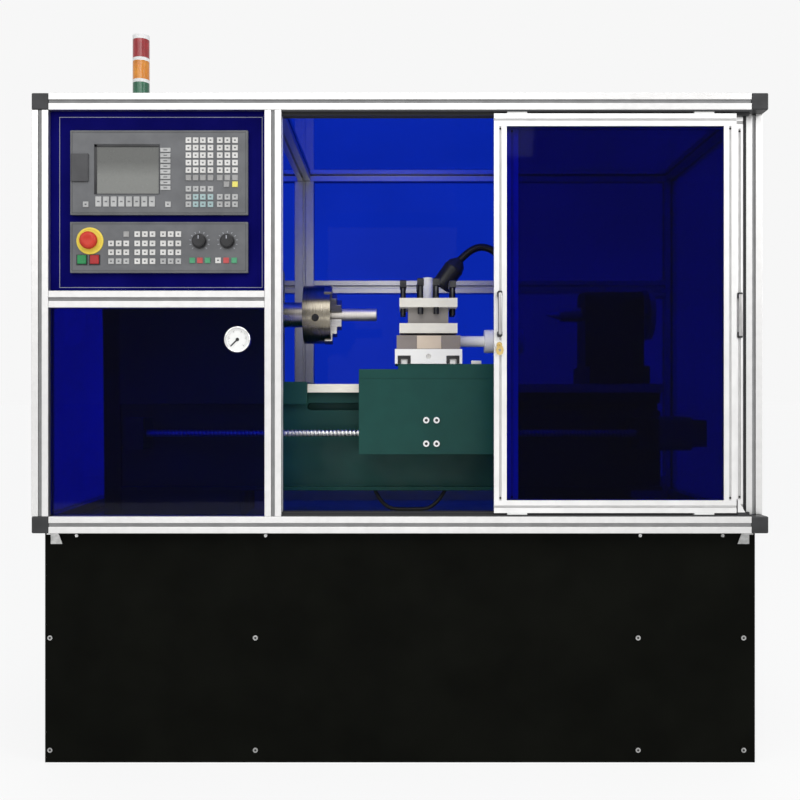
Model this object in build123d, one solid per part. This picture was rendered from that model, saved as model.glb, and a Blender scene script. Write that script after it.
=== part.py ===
from build123d import *
import math
import os

# CNC turning lathe in a glazed profile enclosure on a sheet cabinet
# Lengths in mm. Origin on the floor under the middle of the cabinet, +X right, -Y operator side, +Z up.

# Driving sizes of the enclosure
frame_width = 1740
frame_depth = 780
frame_height = 1040
base_height = 555
profile = 40
slot_width = 8
slot_depth = 12
pane_thickness = 5
overrun = 2
running_gap = 0.4
shaft_gap = 0.05

half_width = frame_width / 2
half_depth = frame_depth / 2
half_profile = profile / 2
half_pane = pane_thickness / 2
frame_top = base_height + frame_height
post_low = base_height + profile
post_high = frame_top - profile
inner_x = half_width - profile
inner_y = half_depth - profile
corner_x = half_width - half_profile
corner_y = half_depth - half_profile
low_beam_z = base_height + half_profile
high_beam_z = frame_top - half_profile


# Helpers: boxes between corners and round bars along the three axes
def block(x0, x1, y0, y1, z0, z1):
    centre = Pos((x0 + x1) / 2, (y0 + y1) / 2, (z0 + z1) / 2)
    return centre * Box(x1 - x0, y1 - y0, z1 - z0)


def rod_x(x0, x1, y, z, radius):
    return Pos((x0 + x1) / 2, y, z) * Rot(0, 90, 0) * Cylinder(radius, x1 - x0)


def rod_y(x, y0, y1, z, radius):
    return Pos(x, (y0 + y1) / 2, z) * Rot(90, 0, 0) * Cylinder(radius, y1 - y0)


def rod_z(x, y, z0, z1, radius):
    return Pos(x, y, (z0 + z1) / 2) * Cylinder(radius, z1 - z0)


# One file per named node
os.makedirs("parts", exist_ok=True)


def save(node, *shapes):
    solids = [solid for shape in shapes for solid in shape.solids()]
    whole = Compound(solids) if len(solids) > 1 else solids[0]
    whole.label = node
    export_step(whole, os.path.join("parts", node + ".step"))


# Slotted aluminium profile
def profile_section(width, depth):
    section = Rectangle(width, depth)
    for side in (-1, 1):
        section -= Pos(side * (width - slot_depth) / 2, 0) * Rectangle(slot_depth, slot_width)
        section -= Pos(0, side * (depth - slot_depth) / 2) * Rectangle(slot_width, slot_depth)
    return section


def beam_x(x0, x1, y, z):
    return Pos(x0, y, z) * extrude(Plane.YZ * profile_section(profile, profile), x1 - x0)


def beam_y(y0, y1, x, z):
    return Pos(x, y0, z) * extrude(Plane.ZX * profile_section(profile, profile), y1 - y0)


def post_z(x, y, width):
    return Pos(x, y, post_low) * extrude(profile_section(width, profile), post_high - post_low)


# Sheet cabinet: open at the front, with a floor, and a hole in the top for the drive belt
base_inset = 18
base_recess = profile
sheet = 4
tray_thickness = 4
half_base = half_width - base_inset
base_front = -half_depth + base_recess
shell_front = base_front + sheet

# Drive line: spindle axis over the motor axis, and the heights of tray and bed that carry the spindle
riser_height = 73
bed_height = 258
way_thickness = 22
centre_height = 193
motor_height = 280
spindle_pulley_radius = 80
motor_pulley_radius = 55
pulley_width = 55
pulley_side_room = 30
belt_thickness = 6
belt_hole_margin = 14
tray_top = base_height + tray_thickness
bed_low = tray_top + riser_height
way_low = bed_low + bed_height
way_top = way_low + way_thickness
spindle_height = way_top + centre_height
pulley_left = -inner_x + pulley_side_room
pulley_right = pulley_left + pulley_width
belt_hole_y = spindle_pulley_radius + belt_thickness + belt_hole_margin


def belt_hole(z0, z1):
    left = pulley_left - belt_hole_margin
    right = pulley_right + belt_hole_margin / 2
    return block(left, right, -belt_hole_y, belt_hole_y, z0 - overrun, z1 + overrun)


cabinet = block(-half_base, half_base, shell_front, half_depth, 0, base_height)
cabinet -= block(
    -half_base + sheet, half_base - sheet, shell_front - overrun, half_depth - sheet, sheet, base_height - sheet
)
cabinet -= belt_hole(base_height - sheet, base_height)
save("base_cabinet", cabinet)
save("base_front_panel", block(-half_base, half_base, base_front, shell_front, 0, base_height))

upstand_inset = 30
upstand_height = 75
upstand_y = inner_y - upstand_inset
tray = block(-inner_x, inner_x, -inner_y, inner_y, base_height, tray_top)
tray += block(-inner_x, inner_x, upstand_y, upstand_y + tray_thickness, base_height, tray_top + upstand_height)
save("chip_tray", tray - belt_hole(base_height, tray_top))

# Screws of the front panel and the small angle brackets under the front beam
screw_radius = 6
screw_head = 4
panel_screw_shares = (-0.985, -0.407, 0.670, 0.967)
panel_row_shares = (0.055, 0.54)
top_screw_shares = (-0.910, -0.378, 0.676, 0.908)
top_screw_drop = 10
top_screw_radius = 4
bracket_leg = 30
bracket_width = 28
bracket_sheet = 4
bracket_slant = 11
bracket_share = 0.966


def panel_screws():
    heads = []
    for share in panel_screw_shares:
        for row in panel_row_shares:
            x = share * half_base
            heads.append(rod_y(x, base_front - screw_head, base_front, row * base_height, screw_radius))
    for share in top_screw_shares:
        x = share * half_base
        z = base_height - top_screw_drop
        heads.append(rod_y(x, base_front - screw_head, base_front, z, top_screw_radius))
    return heads


def beam_bracket(x):
    left = x - bracket_width / 2
    right = x + bracket_width / 2
    upper = block(left, right, base_front - bracket_leg, base_front, base_height - bracket_sheet, base_height)
    side = 1 if x > 0 else -1
    outer = side * bracket_width / 2
    lower_outline = make_face(Polyline(
        (-outer, -bracket_leg), (outer, -bracket_leg), (outer, 0), (side * bracket_slant - outer, 0), (-outer, -bracket_leg)
    ))
    lower = Pos(x, base_front, base_height) * extrude(Plane.XZ * lower_outline, bracket_sheet)
    return upper + lower


save("base_fixings", *panel_screws(), *[beam_bracket(side * bracket_share * half_base) for side in (-1, 1)])

# Corner cubes of the frame
cubes = [
    Pos(side_x * corner_x, side_y * corner_y, z) * Box(profile, profile, profile)
    for side_x in (-1, 1)
    for side_y in (-1, 1)
    for z in (low_beam_z, high_beam_z)
]
save("corner_cubes", *cubes)

# Posts: the front right one stands back by one profile
board_width = 510
rear_post_width = 60
right_post_y = -corner_y + profile
mid_left = -inner_x + board_width
mid_post_x = mid_left + half_profile
mid_right = mid_post_x + half_profile
rear_left = mid_post_x - rear_post_width / 2
rear_right = mid_post_x + rear_post_width / 2
posts = [
    post_z(-corner_x, -corner_y, profile),
    post_z(mid_post_x, -corner_y, profile),
    post_z(corner_x, right_post_y, profile),
    post_z(-corner_x, corner_y, profile),
    post_z(mid_post_x, corner_y, rear_post_width),
    post_z(corner_x, corner_y, profile),
]
save("frame_posts", *posts)

# Beams
board_height = 427
rear_pane_height = 311
mid_beam_high = post_high - board_height
rear_beam_high = post_high - rear_pane_height
mid_beam_low = mid_beam_high - profile
rear_beam_low = rear_beam_high - profile
mid_beam_z = mid_beam_low + half_profile
rear_beam_z = rear_beam_low + half_profile
beams = [
    beam_x(-inner_x, inner_x, side * corner_y, z) for side in (-1, 1) for z in (low_beam_z, high_beam_z)
]
beams += [
    beam_y(-inner_y, inner_y, side * corner_x, z) for side in (-1, 1) for z in (low_beam_z, high_beam_z)
]
beams.append(beam_y(-inner_y, inner_y, mid_post_x, high_beam_z))
beams.append(beam_x(-inner_x, mid_left, -corner_y, mid_beam_z))
beams.append(beam_x(-inner_x, rear_left, corner_y, rear_beam_z))
beams.append(beam_x(rear_right, inner_x, corner_y, rear_beam_z))
save("frame_beams", *beams)


# Panes let into the slots on all four sides, their corners notched clear of the cubes
def pane_xz(x0, x1, z0, z1, y):
    wide = block(x0 - slot_depth, x1 + slot_depth, y - half_pane, y + half_pane, z0, z1)
    return wide + block(x0, x1, y - half_pane, y + half_pane, z0 - slot_depth, z1 + slot_depth)


def pane_yz(y0, y1, z0, z1, x):
    wide = block(x - half_pane, x + half_pane, y0 - slot_depth, y1 + slot_depth, z0, z1)
    return wide + block(x - half_pane, x + half_pane, y0, y1, z0 - slot_depth, z1 + slot_depth)


def pane_xy(x0, x1, y0, y1, z):
    wide = block(x0 - slot_depth, x1 + slot_depth, y0, y1, z - half_pane, z + half_pane)
    return wide + block(x0, x1, y0 - slot_depth, y1 + slot_depth, z - half_pane, z + half_pane)


panes = [
    pane_xy(-inner_x, mid_left, -inner_y, inner_y, high_beam_z),
    pane_xy(mid_right, inner_x, -inner_y, inner_y, high_beam_z),
    pane_yz(-inner_y, inner_y, post_low, post_high, -corner_x),
    pane_yz(right_post_y + half_profile, inner_y, post_low, post_high, corner_x),
]
for low, high in ((post_low, rear_beam_low), (rear_beam_high, post_high)):
    panes.append(pane_xz(-inner_x, rear_left, low, high, corner_y))
    panes.append(pane_xz(rear_right, inner_x, low, high, corner_y))
panes.append(pane_xz(-inner_x, mid_left, post_low, mid_beam_low, -corner_y))
save("enclosure_panels", *panes)

# Control board above the middle beam, with cut-outs for the two operator units
board_left = -inner_x
board_right = mid_left
unit_shift = 5
unit_width = 420
unit_depth = 12
display_height = 200
display_drop = 147
buttons_height = 120
buttons_rise = 103
housing_margin = 12
housing_depth = 65
board_y = -corner_y
board_front = board_y - half_pane
board_back = board_y + half_pane
display_z = post_high - display_drop
buttons_z = mid_beam_high + buttons_rise
unit_x = (board_left + board_right) / 2 + unit_shift
unit_front = board_front - unit_depth
housing_half = unit_width / 2 - housing_margin


def unit_housing(height, z, y1):
    half = height / 2 - housing_margin
    return block(unit_x - housing_half, unit_x + housing_half, board_front, y1, z - half, z + half)


def operator_unit(height, z):
    half = height / 2
    face = block(unit_x - unit_width / 2, unit_x + unit_width / 2, unit_front, board_front, z - half, z + half)
    return face + unit_housing(height, z, board_back + housing_depth)


board = pane_xz(board_left, board_right, mid_beam_high, post_high, board_y)
board -= unit_housing(display_height, display_z, board_back + overrun)
board -= unit_housing(buttons_height, buttons_z, board_back + overrun)
save("control_board", board)


# A flat pad on the face of a unit, placed from the middle of that unit
def face_pad(x, z, width, height, thickness, back):
    left = unit_x + x - width / 2
    return block(left, left + width, back - thickness, back, z - height / 2, z + height / 2)


# Display unit with a sunk screen
screen_width = 154
screen_height = 118
screen_x = -76
screen_rise = 7.5
screen_sink = 3
screen_thickness = 2
display = operator_unit(display_height, display_z)
screen_z = display_z + screen_rise
screen_floor = unit_front + screen_sink
display -= face_pad(screen_x, screen_z, screen_width, screen_height, screen_sink + overrun, screen_floor)
save("display_unit", display)
save(
    "display_screen",
    face_pad(screen_x, screen_z, screen_width, screen_height, screen_thickness, screen_floor),
)

# Hinged cover of the data port
cover_width = 39
cover_height = 65
cover_x = -186
cover_rise = 11
cover_thickness = 5
hinge_radius = 2
cover = face_pad(
    cover_x, display_z + cover_rise, cover_width, cover_height, cover_thickness, unit_front - running_gap
)
hinge_x = unit_x + cover_x - cover_width / 2
hinge_y = unit_front - running_gap - hinge_radius
cover += rod_z(
    hinge_x, hinge_y, display_z + cover_rise - cover_height / 2, display_z + cover_rise + cover_height / 2, hinge_radius
)
save("usb_cover", cover)

# Membrane keys: pads bonded to the faces, offsets from the middle of each unit
key_size = 13
key_rise = 1.2
soft_side = (24, 10)
soft_under = (14, 24)
soft_count = 8
soft_side_pitch = 12.8
soft_under_pitch = 18.1
soft_side_x = 15.5
soft_side_first = 53
soft_under_first = -143
soft_under_drop = -69
pad_columns = (70, 87, 104, 122, 144, 162, 180)
pad_first = 76
pad_pitch = 17.7
pad_rows = 6
low_columns = (70, 87, 104, 122)
low_rows = (-39, -58, -75.5)
right_columns = (144, 162, 180)
right_rows = (-58, -75.5)
single_keys = ((160, -28), (180, -28), (-173, -75.5), (21.5, -75.5))
group_columns = (-95, -33, 28)
group_pitch = 18
group_rows = (31, 9, -12, -33)
colour_keys = (79, 97, 115, 140, 159, 178)
colour_key_drop = -31


def display_keys():
    spots = [(x, pad_first - pad_pitch * row) for x in pad_columns for row in range(pad_rows)]
    spots += [(x, z) for x in low_columns for z in low_rows]
    spots += [(x, z) for x in right_columns for z in right_rows]
    spots += single_keys
    pads = [face_pad(x, display_z + z, key_size, key_size, key_rise, unit_front) for x, z in spots]
    for step in range(soft_count):
        side_z = display_z + soft_side_first - soft_side_pitch * step
        pads.append(face_pad(soft_side_x, side_z, *soft_side, key_rise, unit_front))
        under_x = soft_under_first + soft_under_pitch * step
        pads.append(face_pad(under_x, display_z + soft_under_drop, *soft_under, key_rise, unit_front))
    return pads


def button_keys():
    spots = [(x, colour_key_drop) for x in colour_keys]
    for number, middle in enumerate(group_columns):
        for row, z in enumerate(group_rows):
            lone = number == 0 and row == 0
            sides = (1,) if lone else (-1, 0, 1)
            spots += [(middle + side * group_pitch, z) for side in sides]
    return [face_pad(x, buttons_z + z, key_size, key_size, key_rise, unit_front) for x, z in spots]


save("membrane_keys", *display_keys(), *button_keys())

# Button panel with its moving operators
estop_x = -163
estop_rise = 15
collar_radius = 32
collar_thickness = 3
mushroom_radius = 22.5
mushroom_height = 14
mushroom_edge = 5
stem_radius = 8
stem_gap = 0.3
stem_length = 10
estop_travel = 5
button_size = 22
button_side_gap = 0.4
button_stand = 4
button_seat = 3
button_travel = 3
start_x = -182
stop_x = -152
button_drop = -29
knob_radius = 17.5
knob_height = 16
knob_rise = 14
knob_pointer = 4
knob_shaft_radius = 4
knob_shaft_length = 9
feed_knob_x = 96
spindle_knob_x = 162
estop_z = buttons_z + estop_rise
button_z = buttons_z + button_drop
knob_z = buttons_z + knob_rise

panel = operator_unit(buttons_height, buttons_z)
panel -= rod_y(unit_x + estop_x, unit_front - overrun, board_front, estop_z, stem_radius + stem_gap)
pocket_floor = unit_front + button_seat + button_travel + overrun
for x in (start_x, stop_x):
    pocket_depth = pocket_floor - unit_front + overrun
    panel -= face_pad(x, button_z, button_size, button_size, pocket_depth, pocket_floor)
for x in (feed_knob_x, spindle_knob_x):
    panel -= rod_y(unit_x + x, unit_front - overrun, board_front, knob_z, knob_shaft_radius + shaft_gap)
save("button_panel", panel)

collar_front = unit_front - collar_thickness
collar = rod_y(unit_x + estop_x, collar_front, unit_front, estop_z, collar_radius)
collar -= rod_y(unit_x + estop_x, collar_front - overrun, board_front, estop_z, stem_radius + stem_gap)
save("estop_collar", collar)

mushroom_back = collar_front - estop_travel - running_gap
mushroom = rod_y(unit_x + estop_x, mushroom_back - mushroom_height, mushroom_back, estop_z, mushroom_radius)
mushroom = chamfer(mushroom.edges().sort_by(Axis.Y)[0], mushroom_edge)
stem = rod_y(unit_x + estop_x, mushroom_back - mushroom_edge, collar_front + stem_length, estop_z, stem_radius)
save("estop_button", mushroom + stem)

button_side = button_size - 2 * button_side_gap
for node, x in (("start_button", start_x), ("stop_button", stop_x)):
    cap = face_pad(x, button_z, button_side, button_side, button_stand + button_seat, unit_front + button_seat)
    save(node, cap)

for node, x in (("feed_knob", feed_knob_x), ("spindle_knob", spindle_knob_x)):
    back = unit_front - running_gap
    front = back - knob_height
    knob = rod_y(unit_x + x, front, back, knob_z, knob_radius)
    knob = chamfer(knob.edges().sort_by(Axis.Y)[0], knob_height / 4)
    knob += rod_y(unit_x + x, back - overrun, unit_front + knob_shaft_length, knob_z, knob_shaft_radius)
    pointer_left = unit_x + x - knob_pointer / 2
    mark_low = knob_z + knob_radius / 4
    mark_high = knob_z + knob_radius / 2
    knob += block(pointer_left, pointer_left + knob_pointer, front - key_rise, front, mark_low, mark_high)
    save(node, knob)

# Pressure gauge on the lower left pane
gauge_side = 64
gauge_drop = 75
gauge_radius = 30.5
gauge_rim = 3.5
gauge_depth = 20
dial_sink = 5
needle_width = 3
needle_thickness = 1.2
needle_hub = 4
needle_share = 0.82
gauge_x = board_right - gauge_side
gauge_z = mid_beam_low - gauge_drop
gauge_front = board_front - gauge_depth
dial_radius = gauge_radius - gauge_rim
dial_y = gauge_front + dial_sink
gauge = rod_y(gauge_x, gauge_front, board_front, gauge_z, gauge_radius)
gauge -= rod_y(gauge_x, gauge_front - overrun, dial_y, gauge_z, dial_radius)
save("gauge_case", gauge)

needle_back = dial_y - running_gap
needle_front = needle_back - needle_thickness
needle = rod_y(gauge_x, needle_front, needle_back, gauge_z, needle_hub)
needle_arm = block(
    gauge_x - needle_width / 2,
    gauge_x + needle_width / 2,
    needle_front,
    needle_back,
    gauge_z - dial_radius * needle_share,
    gauge_z,
)
save("gauge_needle", needle + Pos(gauge_x, 0, gauge_z) * Rot(0, 45, 0) * Pos(-gauge_x, 0, -gauge_z) * needle_arm)

# Door tracks: plates with three guide ribs, under the top beam and on the bottom beam
track_plate = 2
lip_width = 2
rib_width = 10
door_depth = 12
door_gap = 0.5
rib_height = 9
front_lip_height = 4
front_lip_back = -half_depth + lip_width
front_door_y0 = front_lip_back + door_gap
front_door_y1 = front_door_y0 + door_depth
rib_front = front_door_y1 + door_gap
rib_back = rib_front + rib_width
rear_door_y0 = rib_back + door_gap
rear_door_y1 = rear_door_y0 + door_depth
rear_lip_front = rear_door_y1 + door_gap
rib_spans = (
    (-half_depth, front_lip_back, front_lip_height), (rib_front, rib_back, rib_height),
    (rear_lip_front, -inner_y, rib_height),
)


def door_track(plate_z, side):
    low = min(plate_z, plate_z + side * track_plate)
    track = block(mid_right, inner_x, -half_depth, -inner_y, low, low + track_plate)
    for y0, y1, height in rib_spans:
        tip = plate_z + side * height
        track += block(mid_right, inner_x, y0, y1, min(plate_z, tip), max(plate_z, tip))
    return track


# Sliding doors: profile frame, acrylic pane in a groove, nylon glides top and bottom
door_overlap = 18
front_door_room = 35
rear_door_room = 5
stile = 30
groove_depth = 8
face_slot_width = 5
face_slot_depth = 3
door_pane = 4
glide_length = 47
glide_height = 5.5
glide_shares = (0.06, 0.90)
door_width = (inner_x - mid_right) / 2 + door_overlap
front_door_left = inner_x - front_door_room - door_width
rear_door_left = inner_x - rear_door_room - door_width
door_low = post_low + track_plate + running_gap + glide_height
door_high = post_high - track_plate - running_gap - glide_height

# End stop of the front door, on the lower track
stop_leg = 40
stop_reach = 23
stop_gap = 3
stop_outline = make_face(Polyline((0, 0), (stop_reach, 0), (0, stop_leg), (0, 0)))
stop = extrude(Plane.XZ * stop_outline, door_depth)
stop = Pos(front_door_left + door_width + stop_gap, front_door_y1, post_low) * stop
save("door_tracks", door_track(post_low, 1) + stop, door_track(post_high, -1))


def door_frame(left, y0, y1):
    right = left + door_width
    frame = block(left, right, y0, y1, door_low, door_high)
    window = (left + stile, right - stile)
    frame -= block(*window, y0 - overrun, y1 + overrun, door_low + stile, door_high - stile)
    half_slot = face_slot_width / 2
    cut = (y0 - overrun, y0 + face_slot_depth)
    for z in (door_low + stile / 2, door_high - stile / 2):
        frame -= block(left - overrun, right + overrun, *cut, z - half_slot, z + half_slot)
    for x in (left + stile / 2, right - stile / 2):
        frame -= block(x - half_slot, x + half_slot, *cut, door_low + stile, door_high - stile)
    return frame - door_glass(left, y0, y1)


def door_glass(left, y0, y1):
    middle = (y0 + y1) / 2
    edge = stile - groove_depth
    right = left + door_width
    return block(
        left + edge, right - edge, middle - door_pane / 2, middle + door_pane / 2, door_low + edge, door_high - edge
    )


def door_glides(left, y0, y1):
    glides = []
    for share in glide_shares:
        x0 = left + share * (door_width - glide_length)
        x1 = x0 + glide_length
        glides.append(block(x0, x1, y0, y1, door_low - glide_height, door_low))
        glides.append(block(x0, x1, y0, y1, door_high, door_high + glide_height))
    return glides


# Lock on the left stile of the front door, its plug turned by the key
handle_rise = -3
lock_drop = 72
lock_radius = 11
lock_plug_radius = 6.5
lock_gap = 0.3
lock_depth = 7
lock_offset = 12
lock_x = front_door_left + lock_offset
handle_z = (door_low + door_high) / 2 + handle_rise
lock_z = handle_z - lock_drop
lock_front = front_door_y0 - lock_depth
lock = rod_y(lock_x, lock_front, front_door_y0, lock_z, lock_radius)
lock -= rod_y(lock_x, lock_front - overrun, front_door_y0 + overrun, lock_z, lock_plug_radius + lock_gap)
save(
    "front_door_frame",
    door_frame(front_door_left, front_door_y0, front_door_y1) + lock,
    *door_glides(front_door_left, front_door_y0, front_door_y1),
)
save("front_door_pane", door_glass(front_door_left, front_door_y0, front_door_y1))
save(
    "rear_door_frame",
    door_frame(rear_door_left, rear_door_y0, rear_door_y1),
    *door_glides(rear_door_left, rear_door_y0, rear_door_y1),
)
save("rear_door_pane", door_glass(rear_door_left, rear_door_y0, rear_door_y1))

# Key: plug, short blade and a hanging flat bow
key_blade_width = 6
key_thickness = 2.4
key_blade_length = 12
bow_radius = 11
bow_hole_radius = 3
bow_drop = 10
bow_hole_drop = 15
key_front = lock_front - key_blade_length
plug = rod_y(lock_x, lock_front, front_door_y0 - running_gap, lock_z, lock_plug_radius)
blade_low = lock_z - key_blade_width / 2
blade_x = lock_x - key_thickness / 2
blade = block(blade_x, blade_x + key_thickness, key_front, lock_front, blade_low, blade_low + key_blade_width)
bow = rod_x(blade_x, blade_x + key_thickness, key_front, lock_z - bow_drop, bow_radius)
bow -= rod_x(blade_x - overrun, blade_x + key_thickness + overrun, key_front, lock_z - bow_hole_drop, bow_hole_radius)
save("door_key", plug + blade + bow)

# Bow handles: a standing one on the front door, a low one that clears the front door on the rear door
handle_length = 108
handle_width = 11
handle_foot = 14
front_handle_reach = 28
rear_handle_reach = 9
front_bar = 9
rear_bar = 4


def bow_handle(x, door_face, reach, bar):
    low = handle_z - handle_length / 2
    high = handle_z + handle_length / 2
    left = x - handle_width / 2
    right = x + handle_width / 2
    handle = block(left, right, door_face - reach, door_face, low, high)
    return handle - block(
        left - overrun, right + overrun, door_face - reach + bar, door_face + overrun, low + handle_foot, high - handle_foot
    )


rear_handle_x = rear_door_left + door_width - stile / 2
save("front_door_handle", bow_handle(lock_x, front_door_y0, front_handle_reach, front_bar))
save("rear_door_handle", bow_handle(rear_handle_x, rear_door_y0, rear_handle_reach, rear_bar))

# Signal tower on the rear top beam
tower_inset = 55
tower_radius = 26
tower_core_radius = 8
tower_foot_radius = 33
tower_foot = 8
tower_pole_radius = 11
tower_pole = 159
tower_housing = 45
tower_ring = 10
tower_lens = 58
tower_cap = 14
lens_wall_gap = 0.5
tower_x = -half_width + tower_inset
tower_y = corner_y
pole_low = frame_top + tower_foot
housing_low = pole_low + tower_pole
green_low = housing_low + tower_housing
amber_low = green_low + tower_lens + tower_ring
red_low = amber_low + tower_lens + tower_ring
cap_low = red_low + tower_lens


def tower_disc(z, height, radius):
    return rod_z(tower_x, tower_y, z, z + height, radius)


stand = tower_disc(frame_top, tower_foot, tower_foot_radius) + tower_disc(pole_low, tower_pole, tower_pole_radius)
stand += tower_disc(housing_low, tower_housing, tower_radius)
stand += tower_disc(green_low, cap_low - green_low, tower_core_radius)
for lens_low in (green_low, amber_low):
    stand += tower_disc(lens_low + tower_lens, tower_ring, tower_radius)
stand += tower_disc(cap_low, tower_cap, tower_radius)
save("tower_stand", stand)
for node, low in (("tower_red_lens", red_low), ("tower_amber_lens", amber_low), ("tower_green_lens", green_low)):
    lens = tower_disc(low, tower_lens, tower_radius)
    save(node, lens - tower_disc(low - overrun, tower_lens + 2 * overrun, tower_core_radius + lens_wall_gap))

# Bed on two risers, with the bearing blocks of the lengthwise screw on its front
bed_gap = 10
bed_right_room = 140
way_inner = 60
bed_half = 110
flange_half = 130
flange_thickness = 10
groove_drop = 28
groove_width = 19
groove_sink = 30
groove_start_share = 0.35
riser_half = 120
left_riser_length = 315
right_riser_length = 280
right_riser_inset = 80
screw_y = -165
screw_rise = 152
screw_bar_radius = 9.5
bearing_length = 50
bearing_half = 40
bearing_inset = 30
bed_left = pulley_right + bed_gap
bed_right = inner_x - bed_right_room
riser_left_end = bed_left + left_riser_length
riser_right_end = bed_right - right_riser_inset
riser_right_start = riser_right_end - right_riser_length
screw_z = bed_low + screw_rise
groove_high = way_low - groove_drop
groove_low = groove_high - groove_width
groove_left = bed_left + groove_start_share * (bed_right - bed_left)
left_bearing = bed_left + bearing_inset
right_bearing = bed_right - bearing_inset - bearing_length

bed = block(bed_left, bed_right, -bed_half, bed_half, bed_low, way_low)
bed += block(bed_left, bed_right, -flange_half, flange_half, bed_low, bed_low + flange_thickness)
for side in (-1, 1):
    groove_y = side * bed_half
    groove_span = (groove_y - groove_sink, groove_y + groove_sink)
    bed -= block(groove_left, bed_right + overrun, *groove_span, groove_low, groove_high)
    bed -= rod_y(groove_left, *groove_span, (groove_low + groove_high) / 2, groove_width / 2)
risers = [
    block(x0, x1, -riser_half, riser_half, tray_top, bed_low)
    for x0, x1 in ((bed_left, riser_left_end), (riser_right_start, riser_right_end))
]


def screw_bearing(x):
    housing = block(
        x, x + bearing_length, screw_y - bearing_half, -bed_half, screw_z - bearing_half, screw_z + bearing_half
    )
    bore = screw_bar_radius + shaft_gap
    return housing - rod_x(x - overrun, x + bearing_length + overrun, screw_y, screw_z, bore)


save("lathe_bed", bed, *risers, screw_bearing(left_bearing), screw_bearing(right_bearing))
ways = [
    block(bed_left, bed_right, min(y0, y1), max(y0, y1), way_low, way_top)
    for y0, y1 in ((-flange_half, -way_inner), (way_inner, flange_half))
]
save("bed_ways", *ways)

# Lengthwise ball screw and its servo motor
screw_end = 5
servo_length = 125
servo_half = 43
servo_edge = 8
servo_cap = 40
servo_cap_half = 34
screw_left = left_bearing + screw_end
screw_right = right_bearing + bearing_length - screw_end
save("z_ball_screw", rod_x(screw_left, screw_right, screw_y, screw_z, screw_bar_radius))
servo_left = right_bearing + bearing_length
servo = block(
    servo_left, servo_left + servo_length - servo_cap,
    screw_y - servo_half, screw_y + servo_half, screw_z - servo_half, screw_z + servo_half,
)
servo = chamfer(servo.edges().filter_by(Axis.X), servo_edge)
servo += block(
    servo_left, servo_left + servo_length,
    screw_y - servo_cap_half, screw_y + servo_cap_half, screw_z - servo_cap_half, screw_z + servo_cap_half,
)
save("z_servo_motor", servo)

# Headstock with a bearing cap on its nose end, a foot and a skirt over the front way
headstock_length = 400
headstock_half = 140
headstock_crown = 140
headstock_edge = 22
cap_radius = 62
cap_length = 8
shaft_radius = 30
skirt_reach = 92
skirt_drop = 54
skirt_gap = 0.5
foot_plate = 6
headstock_right = bed_left + headstock_length
headstock_top = spindle_height + headstock_crown
skirt_right = headstock_right + skirt_reach
foot_top = way_top + foot_plate
headstock = block(bed_left, headstock_right, -headstock_half, headstock_half, way_top, headstock_top)
headstock = fillet(headstock.edges().filter_by(Axis.X).group_by(Axis.Z)[-1], headstock_edge)
headstock += block(headstock_right - overrun, skirt_right, -headstock_half, headstock_half, way_top, foot_top)
headstock += block(
    bed_left, skirt_right, -headstock_half, -flange_half - skirt_gap, way_top - skirt_drop, foot_top
)
headstock += rod_x(headstock_right - overrun, headstock_right + cap_length, 0, spindle_height, cap_radius)
headstock -= rod_x(
    bed_left - overrun, headstock_right + cap_length + overrun, 0, spindle_height, shaft_radius + shaft_gap
)
save("headstock", headstock)

# Hollow spindle, stepped down for its pulley, with a nose for the chuck
nose_radius = 34.5
nose_gap = 1
nose_length = 63
tail_radius = 25
tail_end = 10
spindle_bore = 14
nose_left = headstock_right + cap_length + nose_gap
chuck_left = nose_left + nose_length
spindle = rod_x(pulley_right, nose_left, 0, spindle_height, shaft_radius)
spindle += rod_x(nose_left, chuck_left, 0, spindle_height, nose_radius)
spindle += rod_x(pulley_left - tail_end, pulley_right, 0, spindle_height, tail_radius)
spindle -= rod_x(pulley_left - tail_end - overrun, chuck_left + overrun, 0, spindle_height, spindle_bore)
save("spindle", spindle)

pulley = rod_x(pulley_left, pulley_right, 0, spindle_height, spindle_pulley_radius)
pulley -= rod_x(pulley_left - overrun, pulley_right + overrun, 0, spindle_height, tail_radius + shaft_gap)
save("spindle_pulley", pulley)

# Flat belt round both pulleys
belt_gap = 0.3
belt_edge = 5


def belt_loop(lift):
    upper = Pos(0, spindle_height) * Circle(spindle_pulley_radius + belt_gap + lift)
    lower = Pos(0, motor_height) * Circle(motor_pulley_radius + belt_gap + lift)
    return make_hull((upper + lower).edges())


belt = extrude(Plane.YZ * (belt_loop(belt_thickness) - belt_loop(0)), pulley_width - 2 * belt_edge)
save("drive_belt", Pos(pulley_left + belt_edge, 0, 0) * belt)

# Spindle motor on a stand in the cabinet, and the pulley on its shaft
motor_gap = 15
motor_length = 320
motor_radius = 100
motor_shaft_radius = 14
motor_shaft_depth = 30
motor_stand_half = 90
motor_stand_inset = 40
motor_left = pulley_right + motor_gap
motor_right = motor_left + motor_length
motor = rod_x(motor_left, motor_right, 0, motor_height, motor_radius)
motor += block(
    motor_left + motor_stand_inset, motor_right - motor_stand_inset,
    -motor_stand_half, motor_stand_half, sheet, motor_height,
)
motor -= rod_x(
    motor_left - overrun, motor_left + motor_shaft_depth + overrun, 0, motor_height, motor_shaft_radius + shaft_gap
)
save("spindle_motor", motor)
motor_pulley = rod_x(pulley_left, pulley_right, 0, motor_height, motor_pulley_radius)
motor_pulley += rod_x(pulley_right, motor_left + motor_shaft_depth, 0, motor_height, motor_shaft_radius)
save("motor_pulley", motor_pulley)

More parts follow.
